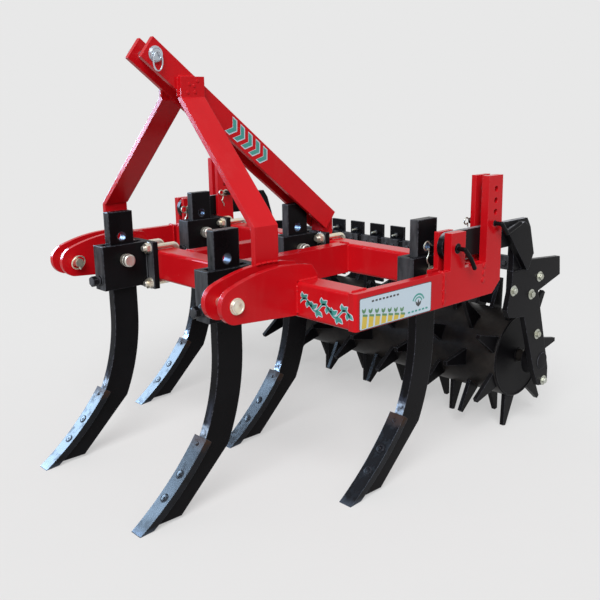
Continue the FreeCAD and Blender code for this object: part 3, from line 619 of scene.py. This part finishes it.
def holderWelds(number, x, row):
    runs = [upright(x + s * cheekWeld["out"], row - cheekWeld["ahead"], cheekWeld["low"], cheekWeld["high"])
            for s in (-1, 1)]
    weldRuns("holder_welds_%d" % number, runs, castBlack, "frame", cheekWeld["radius"])


setBolt = {"height": 18, "washer": 182, "thread": 190, "end": 214,  # the last three are ahead of the row
           "washerSize": (0.0190, 0.0012, 0.0018, 0.0180), "threadSize": (0.0082, 0.0100),
           "endShape": [(0, 0.0138), (0.0008, 0.0128), (0.0010, 0.0040)]}


def setBoltDetail(number, x, row):
    mesh = bmesh.new()
    forwards = (0, -1, 0)
    threads(mesh, at(x, row - setBolt["thread"], setBolt["height"]), forwards, *setBolt["threadSize"])
    disc(mesh, at(x, row - setBolt["washer"], setBolt["height"]), forwards, setBolt["washerSize"], 24)
    lathe(mesh, at(x, row - setBolt["end"], setBolt["height"]), forwards, setBolt["endShape"], 24)
    newPiece("set_bolt_detail_%d" % number, mesh, castBlack, "frame", smooth=35)


lining = {"ahead": 102, "height": 155, "half": 14.8, "outer": 14.7, "inner": 13.9, "sides": 28}


def holeLining(number, x, row):  # a short tube in the shank's upper hole
    mesh = bmesh.new()
    rings = []
    for s, radius in ((-1, "outer"), (-1, "inner"), (1, "inner"), (1, "outer")):
        rings.append([mesh.verts.new(at(x + s * lining["half"],
                                        row - lining["ahead"] + lining[radius] * math.cos(turn),
                                        lining["height"] + lining[radius] * math.sin(turn)))
                      for turn in circle(lining["sides"])])
    for first, second in zip(rings, rings[1:] + rings[:1]):
        skin(mesh, first, second)
    bmesh.ops.recalc_face_normals(mesh, faces=mesh.faces)
    newPiece("hole_lining_%d" % number, mesh, holeSteel, "frame", smooth=40)


share = {"slope": math.radians(43.6), "turn": math.radians(10.2), "faceTop": (-207.6, -346.2),
         "length": 314.4, "bolts": ((22, 0.45), (117, 1.0), (193, 1.0)),  # how far down the face, and how big
         "ring": [(0, 0.0138), (0.0008, 0.0136), (0.0008, 0.0108), (0, 0.0106)],
         "head": [(0, 0.0108), (0.0016, 0.0102), (0.0020, 0.0080)], "headTip": (0.0021, 0.0030),
         "boss": [(0, 0.0038), (0.0027, 0.0034)], "bossTip": (0.0028, 0.0010)}


def shareAt(x, row, down):  # a spot down the share's hollow face, and the way it faces
    radius = share["length"] / 2 / math.sin(share["turn"])
    start = share["slope"] + share["turn"]
    angle = start - 2 * share["turn"] * down / share["length"]
    y = share["faceTop"][0] + radius * (math.sin(angle) - math.sin(start))
    z = share["faceTop"][1] - radius * (math.cos(angle) - math.cos(start))
    return at(x, row + y, z), Vector((0, -math.sin(angle), math.cos(angle)))


def shareFixings(number, x, row):
    dark, pale = bmesh.new(), bmesh.new()
    for down, big in share["bolts"]:
        ring, head, boss = ([(distance, radius * big) for distance, radius in share[key]]
                            for key in ("ring", "head", "boss"))
        seat, outwards = shareAt(x, row, down)
        # the black ring round each head is painted shade for the crevice round the sunk head
        lathe(dark, seat, outwards, ring, 28)
        lathe(pale, seat, outwards, head + [share["headTip"]], 28)
        lathe(dark, seat, outwards, boss + [share["bossTip"]], 14)
    newPiece("share_shade_rings_%d" % number, dark, black, "frame", smooth=35)
    newPiece("share_bolts_%d" % number, pale, steel, "frame", smooth=35)


shanks = {"count": 5, "pitch": 281}
for k in range(shanks["count"]):
    place = (k + 1, shanks["pitch"] * (k - (shanks["count"] - 1) / 2), rowGap if k % 2 == 0 else 0)
    for detail in (holderFixings, holderWelds, setBoltDetail, holeLining, shareFixings):
        detail(*place)
print("shank fixings made")


linch = {"ring": 0.021, "wire": 0.0024, "fold": 0.004, "oval": 1.15,
         "peg": [(0, 0.0058), (0.008, 0.0058), (0.009, 0.0042), (0.0441, 0.0042), (0.04725, 0.0022)]}


def linchpin(mesh, centre, along, up):  # a peg through a pin's tail, its spring ring folded over the pin
    along, up = Vector(along), Vector(up).normalized()
    side = along.cross(up)
    ring, fold = linch["ring"], linch["fold"]
    lathe(mesh, centre + up * ring, -up, linch["peg"], 14)
    loop = [centre + along * fold * (1 + math.cos(turn)) + up * ring * math.cos(turn)
            + side * ring * linch["oval"] * math.sin(turn) for turn in circle(18)]
    sweep(mesh, loop, linch["wire"], 8, closed=True)


def pinFace(shoulder):  # the turned and drilled end of a pin
    return [(0, 0.0198), (0.0016, shoulder), (0.0018, 0.0160), (0.0006, 0.0146), (0.0006, 0.0064),
            (0.0014, 0.0050), (0.0015, 0.0010)]


hitchPin = {"face": 478, "tail": 371, "y": -210, "z": 70, "collarBack": 0.0079, "shoulder": 0.0190,
            "collar": (0.0222, 0.0030, 0.0036, 0.0208), "pegUp": (0, -0.35, 1)}


def hitchPinDetail(side, s):
    mesh = bmesh.new()
    y, z = hitchPin["y"], hitchPin["z"]
    face, outwards = at(s * hitchPin["face"], y, z), Vector((s, 0, 0))
    lathe(mesh, face, outwards, pinFace(hitchPin["shoulder"]), 32)
    disc(mesh, face - outwards * hitchPin["collarBack"], outwards, hitchPin["collar"], 32)
    linchpin(mesh, at(s * hitchPin["tail"], y, z), -outwards, hitchPin["pegUp"])
    newPiece("hitch_pin_detail_" + side, mesh, zinc, "frame", smooth=40)


topPin = {"inset": (32, 35), "face": 50, "collarAt": 42, "ringAt": 55, "tail": -57, "shoulder": 0.0188,
          "collar": (0.0225, 0.0030, 0.0036, 0.0210), "pegUp": (0, -0.3, 1),
          "ring": (0.0015, 0.015, 0.026), "ringUp": 0.006, "wire": 0.0023}


def topPinDetail():
    mesh = bmesh.new()
    y, z = onMast(*topPin["inset"])
    lathe(mesh, at(topPin["face"], y, z), (1, 0, 0), pinFace(topPin["shoulder"]), 32)
    out, wide, tall = topPin["ring"]
    ring = [at(topPin["ringAt"], y, z) + Vector((out * math.cos(turn), wide * math.sin(turn),
                                                 tall * (math.cos(turn) - 1) + topPin["ringUp"]))
            for turn in circle(20)]
    sweep(mesh, ring, topPin["wire"], 8, closed=True)
    disc(mesh, at(topPin["collarAt"], y, z), (1, 0, 0), topPin["collar"], 32)
    linchpin(mesh, at(topPin["tail"], y, z), (-1, 0, 0), topPin["pegUp"])
    newPiece("top_pin_detail", mesh, brightWire, "frame", smooth=40)


def smoothed(points, steps):  # a curve through the points
    out = []
    last = len(points) - 1
    for k in range(last):
        p0, p1 = points[max(k - 1, 0)], points[k]
        p2, p3 = points[k + 1], points[min(k + 2, last)]
        for j in range(steps):
            t = j / steps
            out.append(0.5 * (2 * p1 + (p2 - p0) * t + (2 * p0 - 5 * p1 + 4 * p2 - p3) * t * t
                              + (3 * p1 - p0 - 3 * p2 + p3) * t * t * t))
    out.append(points[-1])
    return out


# a spring clip: a leg through the pin, a round eye and a waved leg, by millimetres forwards and down
clip = {"leg": [(-8, 0), (14, -1), (26, -7)], "eye": (42, -4, 12.5), "eyeTurns": range(215, 500, 40),
        "wavedLeg": [(31, 17), (34, 26), (39, 35), (36, 45), (29, 53), (28, 66)], "wire": 0.0021,
        "aside": 1.8, "back": 16, "fullSize": 0.015, "steps": 4}


def hairClip(mesh, centre, s, big):
    ahead, down, radius = clip["eye"]
    eye = [(ahead + radius * math.cos(math.radians(turn)), down + radius * math.sin(math.radians(turn)))
           for turn in clip["eyeTurns"]]
    route = clip["leg"] + eye + clip["wavedLeg"]
    points = [centre + mm * Vector((-clip["aside"] * s * (k > 6), -forwards * big, -drop * big))
              for k, (forwards, drop) in enumerate(route)]
    sweep(mesh, smoothed(points, clip["steps"]), clip["wire"], 8)


def tailPinDetail(side, s):
    mesh = bmesh.new()
    inner = tail["inner"][0]
    for y, z, radius in tail["pins"]:
        disc(mesh, at(s * inner, y, z), (-s, 0, 0), (radius * 1.5, 0.003, 0.0036, radius * 1.4), 24)
        hairClip(mesh, at(s * (inner - clip["back"]), y, z), s, radius / clip["fullSize"] * 0.5 + 0.5)
    newPiece("tail_clips_" + side, mesh, dullZinc, "frame", smooth=50)


topPinDetail()
for side, s in sides:
    hitchPinDetail(side, s)
    tailPinDetail(side, s)
print("pins and clips made")


hub, armFace = reach("roller_side_plate_left", "x")  # a bearing's inner face, and the plate's outer one
hanger = {"bolts": ((922, -2), (767, -25), (876, -55), (928, -203), (987, -384)), "bolt": (0.019, 0.009),
          "hubBolts": 4, "hubCircle": 42, "hubBolt": (0.013, 0.006),
          "bearing": [(0, 0.052), (0.002, 0.050), (0.004, 0.038), (0.002, 0.036), (0.002, 0.026),
                      (0.005, 0.0245), (0.005, 0.0215)],
          "cap": [(0, 0.0300), (0.0025, 0.0290), (0.0030, 0.0215)], "sunk": 0.2}


def hangerDetail(side, s):
    mesh = bmesh.new()
    for k, (y, z) in enumerate(hanger["bolts"]):
        hexBolt(mesh, at(s * armFace, y, z), (s, 0, 0), *hanger["bolt"], 0.3 * k)
    for k, turn in enumerate(circle(hanger["hubBolts"])):
        turn += math.pi / 4
        y, z = axleY + hanger["hubCircle"] * math.cos(turn), axleZ + hanger["hubCircle"] * math.sin(turn)
        hexBolt(mesh, at(s * hub, y, z), (-s, 0, 0), *hanger["hubBolt"], 0.5 * k)
    newPiece("hanger_bolts_" + side, mesh, dullZinc, "roller_frame", smooth=35)
    mesh = bmesh.new()
    lathe(mesh, at(s * hub, axleY, axleZ), (-s, 0, 0), hanger["bearing"], 40)
    lathe(mesh, at(s * (armFace - hanger["sunk"]), axleY, axleZ), (s, 0, 0), hanger["cap"], 36)
    newPiece("bearing_faces_" + side, mesh, castBlack, "roller_frame", smooth=35)


armWeld = {"face": (((759, 40), (814, 40)), ((817, 41), (850, 64)), ((700, 178), (780, 199)),
                    ((700, 172), (804, 44))),
           "bar": (994, 1036), "barHeights": (34, -12), "radius": 0.0044}


def armWelds(side, s):  # the gusset on the arm and the side plate, and the scrapers' bar on the side plate
    runs = [(at(s * armFace, *start), at(s * armFace, *end)) for start, end in armWeld["face"]]
    barEnd = reach("scraper_bar", "x")[1]
    runs += [lengthways(s * barEnd, z, *armWeld["bar"]) for z in armWeld["barHeights"]]
    weldRuns("arm_welds_" + side, runs, black, "roller_frame", armWeld["radius"])


scraper = {"count": 10, "pitch": 111, "apart": 18, "boltZ": 10, "studZ": 46, "back": 1045, "front": 990,
           "bolt": (0.016, 0.008), "nut": (0.0100, 0.008, 0.009, 0.0086), "coverBack": 995.2,
           "cover": [(-44, 36), (44, 36), (44, -8), (38, -14), (-38, -14), (-44, -8)],
           "studNut": (0.0095, 0.006, 0.007, 0.0082), "studNutY": 1035, "studY": 1028,
           "stud": (0.022, 0.0042, 0.002)}


def scraperFixings():
    dark, pale = bmesh.new(), bmesh.new()
    forwards = (0, -1, 0)
    for k in range(scraper["count"]):
        x = (k - (scraper["count"] - 1) / 2) * scraper["pitch"]
        for aside in (-scraper["apart"], scraper["apart"]):
            seat = at(x + aside, scraper["back"], scraper["boltZ"])
            hexBolt(dark, seat, (0, 1, 0), *scraper["bolt"], 0.2 * k + aside)
            disc(dark, at(x + aside, scraper["front"], scraper["boltZ"]), forwards, scraper["nut"], 6)
        front, back = ([dark.verts.new(at(x + u, y, v)) for u, v in scraper["cover"]]
                       for y in (scraper["front"], scraper["coverBack"]))
        dark.faces.new(front)
        dark.faces.new(list(reversed(back)))
        skin(dark, back, front)
        disc(dark, at(x, scraper["studNutY"], scraper["studZ"]), forwards, scraper["studNut"], 6)
        threads(pale, at(x, scraper["studY"], scraper["studZ"]), forwards, *scraper["stud"])
    bmesh.ops.recalc_face_normals(dark, faces=dark.faces)
    newPiece("scraper_fixings", dark, castBlack, "roller_frame", smooth=35)
    newPiece("scraper_studs", pale, dullZinc, "roller_frame", smooth=35)


for side, s in sides:
    hangerDetail(side, s)
    armWelds(side, s)
scraperFixings()


drum = {"radius": 150, "rings": 11, "pitch": 111, "teeth": 7, "plate": 15, "root": 62, "rootEase": 10,
        "weld": 0.0040, "endGap": 6, "endWelds": (0.1455, 0.0235), "endWeld": 0.0035, "ripple": 0.0004}


def toothWelds():  # both sides of every tooth, where it stands on the drum
    runs = []
    phase = math.radians(360 / drum["teeth"] / 4)
    spread = (drum["root"] - drum["rootEase"]) / 2 / drum["radius"]
    for k in range(drum["rings"]):
        x = (k - (drum["rings"] - 1) / 2) * drum["pitch"]
        start = phase if k % 2 == 0 else -phase
        for middle in circle(drum["teeth"]):
            turns = [start + middle + turn for turn in (-spread, spread)]
            ends = [(axleY - drum["radius"] * math.sin(turn), axleZ - drum["radius"] * math.cos(turn))
                    for turn in turns]
            for s in (-1, 1):
                runs.append([at(x + s * drum["plate"] / 2, y, z) for y, z in ends])
    return runs


def drumEnds():  # the welds around the drum's rim and around its axle
    mesh = bmesh.new()
    end = (drum["rings"] - 1) / 2 * drum["pitch"] + drum["plate"] / 2 + drum["endGap"]
    for s in (-1, 1):
        for radius in drum["endWelds"]:
            ring = [at(s * end, axleY, axleZ)
                    + (radius + drum["ripple"] * (k % 2)) * Vector((0, math.cos(turn), math.sin(turn)))
                    for k, turn in enumerate(circle(72))]
            sweep(mesh, ring, drum["endWeld"], 8, closed=True)
    newPiece("drum_end_welds", mesh, black, "roller", smooth=50)


weldRuns("tooth_welds", toothWelds(), black, "roller", drum["weld"])
drumEnds()
print("roller detail made")


def vinyl(name, tone):
    look = {"fade": ((0.35, 0.70), 24, 5), "dust": ((0.60, 0.78), 120, 3), "dustTone": (0.35, 0.32, 0.28, 1),
            "grain": (90, 3, 0.5), "rough": 0.32, "relief": 0.00008, "coat": 0.3}
    paint = Paint(name)
    fade, dust = paint.patches(*look["fade"]), paint.patches(*look["dust"])
    pale = tuple(0.82 * c + 0.12 for c in tone[:3]) + (1,)
    colour = paint.mix(fade * 0.35, tone, pale)
    colour = paint.mix(dust * 0.10, colour, look["dustTone"])
    paint.surface(Base_Color=colour, Roughness=look["rough"] + dust * 0.2, Coat_Weight=look["coat"],
                  Normal=paint.bump(paint.noise(*look["grain"]), look["relief"], 0.4))
    return paint.owner


tones = {"pale": (0.56, 0.68, 0.78, 1), "teal": (0.02, 0.30, 0.26, 1), "yellow": (0.66, 0.48, 0.03, 1),
         "green": (0.08, 0.24, 0.10, 1), "ink": (0.02, 0.025, 0.03, 1)}
films = {name: vinyl(name + "Film", tone) for name, tone in tones.items()}


def film(name, shapes, outwards, paint, thick):  # flat shapes with a little thickness
    mesh = bmesh.new()
    for points in shapes:
        low = [mesh.verts.new(p) for p in points]
        high = [mesh.verts.new(p + Vector(outwards) * thick) for p in points]
        mesh.faces.new(high)
        skin(mesh, low, high)
    bmesh.ops.recalc_face_normals(mesh, faces=mesh.faces)
    newPiece(name, mesh, paint, "frame")


# the next three lay a shape on a plane that place(u, v) gives
def boxOn(place, u0, u1, v0, v1, corner, steps=4):  # a panel with its corners cut round
    points = []
    for cu, cv, start in ((u1 - corner, v0 + corner, -90), (u1 - corner, v1 - corner, 0),
                          (u0 + corner, v1 - corner, 90), (u0 + corner, v0 + corner, 180)):
        for k in range(steps + 1):
            turn = math.radians(start + 90 * k / steps)
            points.append(place(cu + corner * math.cos(turn), cv + corner * math.sin(turn)))
    return points


def ringOn(place, u, v, radius, width, start, sweepBy, steps=20):  # strips that make an arc
    shapes = []
    for k in range(steps):
        a, b = (math.radians(start + sweepBy * n / steps) for n in (k, k + 1))
        shapes.append([place(u + r * math.cos(turn), v + r * math.sin(turn))
                       for r, turn in ((radius, a), (radius, b), (radius - width, b), (radius - width, a))])
    return shapes


def leafOn(place, u, v, long, wide, turn, steps=7):  # a pointed leaf that starts at (u, v)
    along = Vector((math.cos(turn), math.sin(turn)))
    across = Vector((-along.y, along.x))
    points = []
    for k in range(2 * steps):
        t = k / steps if k <= steps else 2 - k / steps
        swell = wide / 2 * math.sin(math.pi * t) * (1 if k <= steps else -1)
        spot = Vector((u, v)) + along * long * t + across * swell
        points.append(place(spot.x, spot.y))
    return points


def barOn(s, lift):  # the plane of a side bar's outer face, lifted off it
    return lambda y, z: at(s * (half + lift), y, z)


def mastOn(s, lift):  # the plane of the mast's side
    return lambda u, v: at(s * (mast["half"] + lift), *onMast(u, v))


def beamOn(s, lift):  # the plane of the front beam's face
    return lambda x, z: at(s * x, -lift, z)


panel = {"from": 14, "to": 306, "low": 1, "high": 86, "rim": 2, "corner": 5, "thick": 0.0002,
         "lifts": (0.2, 0.4, 0.6), "furrows": 7, "furrowFrom": 8, "furrowPitch": 25, "furrowGap": 7,
         "furrowLow": 4, "furrowTop": 44, "furrowFall": 3.8, "ridgeEnds": (4, -3), "turfDeep": 6,
         "sproutAt": (-4, 1), "sprout": (15, 7), "sproutTurns": (62, 118),
         "centre": (250, 34), "arcs": ((27, 5), (18, 4)), "arcSweep": (20, 140),
         "seeds": {"count": 6, "from": 206, "pitch": 15, "wide": 10, "z": (11, 16), "corner": 2},
         "marks": {"count": 8, "from": 60, "pitch": 14, "wide": 9, "z": (70, 75), "corner": 1},
         "leaf": (20, 7), "leafZ": 24, "leafTurns": (-38, 0, 38)}


def rowOf(place, row):  # a row of small bars
    return [boxOn(place, row["from"] + row["pitch"] * k, row["from"] + row["pitch"] * k + row["wide"],
                  *row["z"], row["corner"]) for k in range(row["count"])]


def sidePanel(side, s):
    first, last, low, high = (panel[key] for key in ("from", "to", "low", "high"))
    rim, corner = panel["rim"], panel["corner"]
    ground, upper, top = (barOn(s, lift) for lift in panel["lifts"])
    foot = low + panel["furrowLow"]
    ridgeStart, ridgeEnd = panel["ridgeEnds"]
    aside, above = panel["sproutAt"]
    yellow, green = [], []
    for k in range(panel["furrows"]):  # a row of furrows that get lower towards the back
        y0, y1 = (first + panel["furrowFrom"] + panel["furrowPitch"] * n for n in (k, k + 1))
        top0, top1 = (panel["furrowTop"] - panel["furrowFall"] * n for n in (k, k + 1))
        ridge = [(y1 + ridgeEnd, top1), (y0 + ridgeStart, top0)]
        furrow = [(y0, foot), (y1 - panel["furrowGap"], foot)] + ridge
        turf = [(y, z - panel["turfDeep"]) for y, z in reversed(ridge)] + ridge
        yellow.append([upper(*spot) for spot in furrow])
        green.append([top(*spot) for spot in turf])
        for turn in panel["sproutTurns"]:
            root = ((y0 + y1) / 2 + aside, top0 + above)
            green.append(leafOn(top, *root, *panel["sprout"], math.radians(turn)))
    teal = [strip for radius, width in panel["arcs"]
            for strip in ringOn(upper, *panel["centre"], radius, width, *panel["arcSweep"])]
    teal += rowOf(upper, panel["seeds"])
    ink = rowOf(upper, panel["marks"])
    ink += [leafOn(top, panel["centre"][0], panel["leafZ"], *panel["leaf"], math.radians(90 + turn))
            for turn in panel["leafTurns"]]
    border = [boxOn(barOn(s, 0), first, last, low, high, corner)]
    field = [boxOn(ground, first + rim, last - rim, low + rim, high - rim, corner - 1)]
    for name, shapes, tone in (("border", border, "ink"), ("ground", field, "pale"),
                               ("furrows", yellow, "yellow"), ("sprouts", green, "green"),
                               ("arcs", teal, "teal"), ("marks", ink, "ink")):
        film("panel_" + name + "_" + side, shapes, (s, 0, 0), films[tone], panel["thick"])


arrows = {"from": 350, "pitch": 38, "count": 5, "top": 8, "low": 61, "wide": 22, "nose": 19, "rim": 3,
          "thick": 0.00025}


def mastArrows(side, s):  # a row of arrowheads down the mast's side, teal with a pale edge
    pale, teal = [], []
    wide, middle = arrows["wide"], (arrows["top"] + arrows["low"]) / 2
    for k in range(arrows["count"]):
        u = arrows["from"] + arrows["pitch"] * k
        for shapes, rim, lift in ((pale, 0, 0), (teal, arrows["rim"], 0.25)):
            place = mastOn(s, lift)
            nose = arrows["nose"] + 0.6 * rim
            for v in (arrows["top"] + rim, arrows["low"] - rim):
                corners = ((rim, v), (wide - rim, v), (wide + nose - 2 * rim, middle), (nose, middle))
                shapes.append([place(u + a, b) for a, b in corners])
    film("mast_edges_" + side, pale, (s, 0, 0), films["pale"], arrows["thick"])
    film("mast_arrows_" + side, teal, (s, 0, 0), films["teal"], arrows["thick"])


vine = {"from": 482, "to": 668, "middle": 47, "fall": 10, "swing": 13, "waves": 2.5, "steps": 60,
        "leaves": 10, "stem": 2.6, "leaf": 24, "leafWide": 10, "leafTurns": ((38, 1), (96, 0.8)),
        "rim": 2.2, "thick": 0.00025}


def beamVine(side, s):  # a climbing vine along the front beam, teal with a pale edge
    def stem(t):
        x = vine["from"] + (vine["to"] - vine["from"]) * t
        wave = vine["swing"] * math.sin(2 * math.pi * vine["waves"] * t)
        return x, vine["middle"] - vine["fall"] * t + wave

    pale, teal = [], []
    for shapes, rim, lift in ((pale, vine["rim"], 0), (teal, 0, 0.25)):
        place = beamOn(s, lift)
        wide = vine["stem"] + rim
        for k in range(vine["steps"]):
            (x0, z0), (x1, z1) = stem(k / vine["steps"]), stem((k + 1) / vine["steps"])
            corners = ((x0, z0 - wide), (x1, z1 - wide), (x1, z1 + wide), (x0, z0 + wide))
            shapes.append([place(*corner) for corner in corners])
        for k in range(vine["leaves"]):
            x, z = stem((k + 0.5) / vine["leaves"])
            up = 1 if k % 2 == 0 else -1
            for turn, size in vine["leafTurns"]:
                shapes.append(leafOn(place, x, z, vine["leaf"] * size + rim, vine["leafWide"] + 2.4 * rim,
                                     math.radians(up * turn)))
    film("vine_edges_" + side, pale, (0, -1, 0), films["pale"], vine["thick"])
    film("vine_" + side, teal, (0, -1, 0), films["teal"], vine["thick"])


for side, s in sides:
    sidePanel(side, s)
    mastArrows(side, s)
beamVine("left", 1)
print("trim made")


studio = {"floor": 0.79, "bounce": 0.42, "mottle": 0.004, "mottleNoise": (6, 4), "mottleBand": (0.3, 0.7),
          "floorGlow": 0.55, "floorNear": 1.4, "floorFar": 3.6, "floorHalf": 30,
          "backdrop": 0.807, "dome": 0.40,
          "sun": 2.9, "sunTurn": (46, 0, 38), "sunAngle": 40, "window": 440, "windowSize": (2.65, 1.65),
          "windowPlace": (-3.57, -1.36, 1.74), "windowAim": (0, 0, 0.4), "cool": (0.50, 0.72, 1.0)}


def seenRays(paint):  # 1 where the studio is seen straight, mirrored or through glass
    camera = paint.add("ShaderNodeLightPath", output="Is Camera Ray")
    rays = camera.socket.node.outputs
    glossy, through = Shade(paint, rays["Is Glossy Ray"]), Shade(paint, rays["Is Transmission Ray"])
    return camera.orMore(glossy).orMore(through)


def makeFloor():
    mesh = bmesh.new()
    for x, y in ((-1, -1), (1, -1), (1, 1), (-1, 1)):
        mesh.verts.new((x * studio["floorHalf"], y * studio["floorHalf"], 0))
    mesh.faces.new(list(mesh.verts))
    data = bpy.data.meshes.new("floor")
    mesh.to_mesh(data)
    mesh.free()
    floor = bpy.data.objects.new("floor", data)
    bpy.context.scene.collection.objects.link(floor)
    paint = Paint("floorPaint")
    seen = seenRays(paint)
    x, y = paint.along("X"), paint.along("Y")
    far = paint.ramp((x * x + y * y) ** 0.5, studio["floorNear"], studio["floorFar"])
    mottle = paint.ramp(paint.noise(*studio["mottleNoise"]), *studio["mottleBand"],
                        -studio["mottle"], studio["mottle"])
    level = studio["floor"] * seen + studio["bounce"] * (1 - seen) + mottle
    paint.surface(Base_Color=paint.add("ShaderNodeCombineColor", None, {0: level, 1: level, 2: level}),
                  Roughness=1.0, Specular_IOR_Level=0.0)
    backdrop = (studio["backdrop"],) * 3 + (1,)
    glow = paint.add("ShaderNodeEmission", None, {"Color": backdrop, "Strength": 1.0})
    amount = seen * paint.ramp(far, 0, 1, studio["floorGlow"], 1)
    lit = Shade(paint, paint.shader.outputs[0])
    mixed = paint.add("ShaderNodeMixShader", None, {0: amount, 1: lit, 2: glow})
    paint.feed(paint.tree.nodes["Material Output"].inputs["Surface"], mixed)
    data.materials.append(paint.owner)


def makeWorld():
    paint = Paint("studio", world=True)
    paint.surface(Color=paint.ramp(seenRays(paint), 0, 1, studio["dome"], studio["backdrop"]), Strength=1.0)
    bpy.context.scene.world = paint.owner


def makeLamps():
    sun = bpy.data.lights.new("sun", "SUN")
    sun.energy = studio["sun"]
    sun.angle = math.radians(studio["sunAngle"])
    lamp = bpy.data.objects.new("sun", sun)
    lamp.rotation_euler = [math.radians(turn) for turn in studio["sunTurn"]]
    bpy.context.scene.collection.objects.link(lamp)
    window = bpy.data.lights.new("window", "AREA")
    window.shape = "RECTANGLE"
    window.size, window.size_y = studio["windowSize"]
    window.energy = studio["window"]
    window.color = studio["cool"]
    place = Vector(studio["windowPlace"])
    facing = (Vector(studio["windowAim"]) - place).to_track_quat("-Z", "Y").to_matrix().to_4x4()
    lamp = bpy.data.objects.new("window", window)
    lamp.matrix_world = Matrix.Translation(place) @ facing
    lamp.visible_diffuse = False  # it gives the paint its gloss alone
    bpy.context.scene.collection.objects.link(lamp)


makeFloor()
makeWorld()
makeLamps()
print("studio made")
